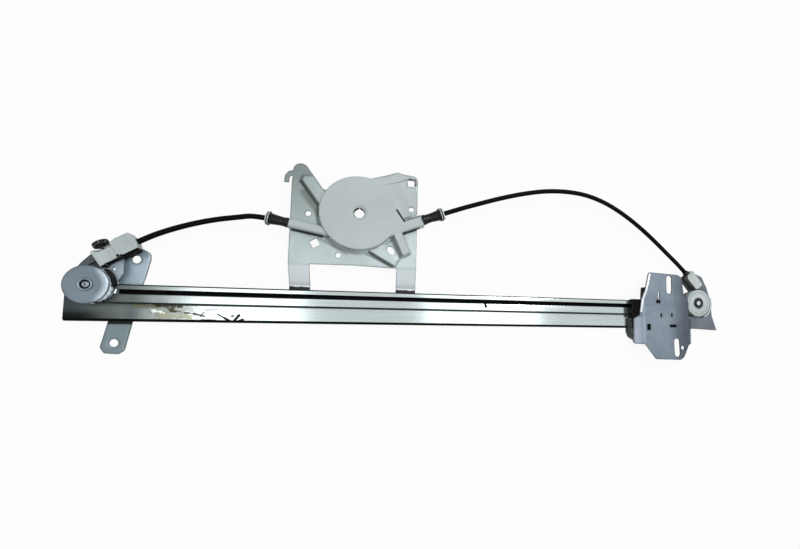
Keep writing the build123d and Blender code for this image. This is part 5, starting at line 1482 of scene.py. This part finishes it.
# %% Lamps and world
def soft_box(name, place, target, size, watts):
    data = bpy.data.lights.new(name, "AREA")
    data.shape = "RECTANGLE"
    data.size, data.size_y = size
    data.energy = watts
    lamp = bpy.data.objects.new(name, data)
    look = Vector(target) - Vector(place)
    lamp.matrix_world = Matrix.Translation(Vector(place)) @ look.to_track_quat("-Z", "Y").to_matrix().to_4x4()
    lamp.visible_camera = False
    bpy.context.scene.collection.objects.link(lamp)
    return lamp


def make_world():
    world = bpy.data.worlds.new("studio")
    bpy.context.scene.world = world
    world.use_nodes = True
    tree = world.node_tree

    def node(kind, **settings):
        made = tree.nodes.new(kind)
        for key, value in settings.items():
            setattr(made, key, value)
        return made

    def span(value, *numbers):
        made = node("ShaderNodeMapRange", interpolation_type="SMOOTHSTEP")
        for key, number in zip(("From Min", "From Max", "To Min", "To Max"), numbers):
            made.inputs[key].default_value = number
        tree.links.new(value, made.inputs["Value"])
        return made.outputs["Result"]

    sky = node("ShaderNodeTexCoord").outputs["Generated"]
    split = node("ShaderNodeSeparateXYZ")
    tree.links.new(sky, split.inputs[0])
    to_right = node("ShaderNodeVectorMath", operation="DOT_PRODUCT")
    to_right.inputs[1].default_value = Vector((0.80, 0.30, 0.52)).normalized()
    tree.links.new(sky, to_right.inputs[0])
    total = node("ShaderNodeMath", operation="MULTIPLY")
    tree.links.new(span(split.outputs["Z"], 0.05, 0.55, 0.34, 0.72), total.inputs[0])
    tree.links.new(span(to_right.outputs["Value"], -0.45, 0.65, 0.35, 1.10), total.inputs[1])
    room = tree.nodes["Background"]
    room.inputs["Color"].default_value = (0.975, 0.99, 1.0, 1)
    tree.links.new(total.outputs[0], room.inputs["Strength"])
    white = node("ShaderNodeBackground")
    white.inputs["Color"].default_value = (1, 1, 1, 1)
    rays = node("ShaderNodeLightPath")
    seen = node("ShaderNodeMath", operation="MAXIMUM")
    tree.links.new(rays.outputs["Is Camera Ray"], seen.inputs[0])
    tree.links.new(rays.outputs["Is Transmission Ray"], seen.inputs[1])
    mirrored = node("ShaderNodeMath", operation="MULTIPLY")
    tree.links.new(rays.outputs["Is Glossy Ray"], mirrored.inputs[0])
    tree.links.new(span(split.outputs["Z"], 0.10, 0.75, 0.0, 1.0), mirrored.inputs[1])
    share = node("ShaderNodeMath", operation="MAXIMUM")
    tree.links.new(seen.outputs[0], share.inputs[0])
    tree.links.new(mirrored.outputs[0], share.inputs[1])
    pick = node("ShaderNodeMixShader")
    tree.links.new(share.outputs[0], pick.inputs[0])
    tree.links.new(room.outputs[0], pick.inputs[1])
    tree.links.new(white.outputs[0], pick.inputs[2])
    tree.links.new(pick.outputs[0], tree.nodes["World Output"].inputs["Surface"])


table = make_table()
make_world()
soft_box("soft_box_left", (-0.335, -0.06, 0.9), (-0.335, -0.06, 0), (0.27, 0.6), 0.82)
soft_box("soft_box_right", (0.295, -0.06, 0.9), (0.295, -0.06, 0), (0.35, 0.6), 1.06)
soft_box("soft_box_high", (0.62, 0.50, 1.7), (0.08, -0.03, 0), (0.30, 0.30), 6.5)
bpy.context.scene.view_settings.view_transform = "Standard"
print("lamps:", len(bpy.data.lights))
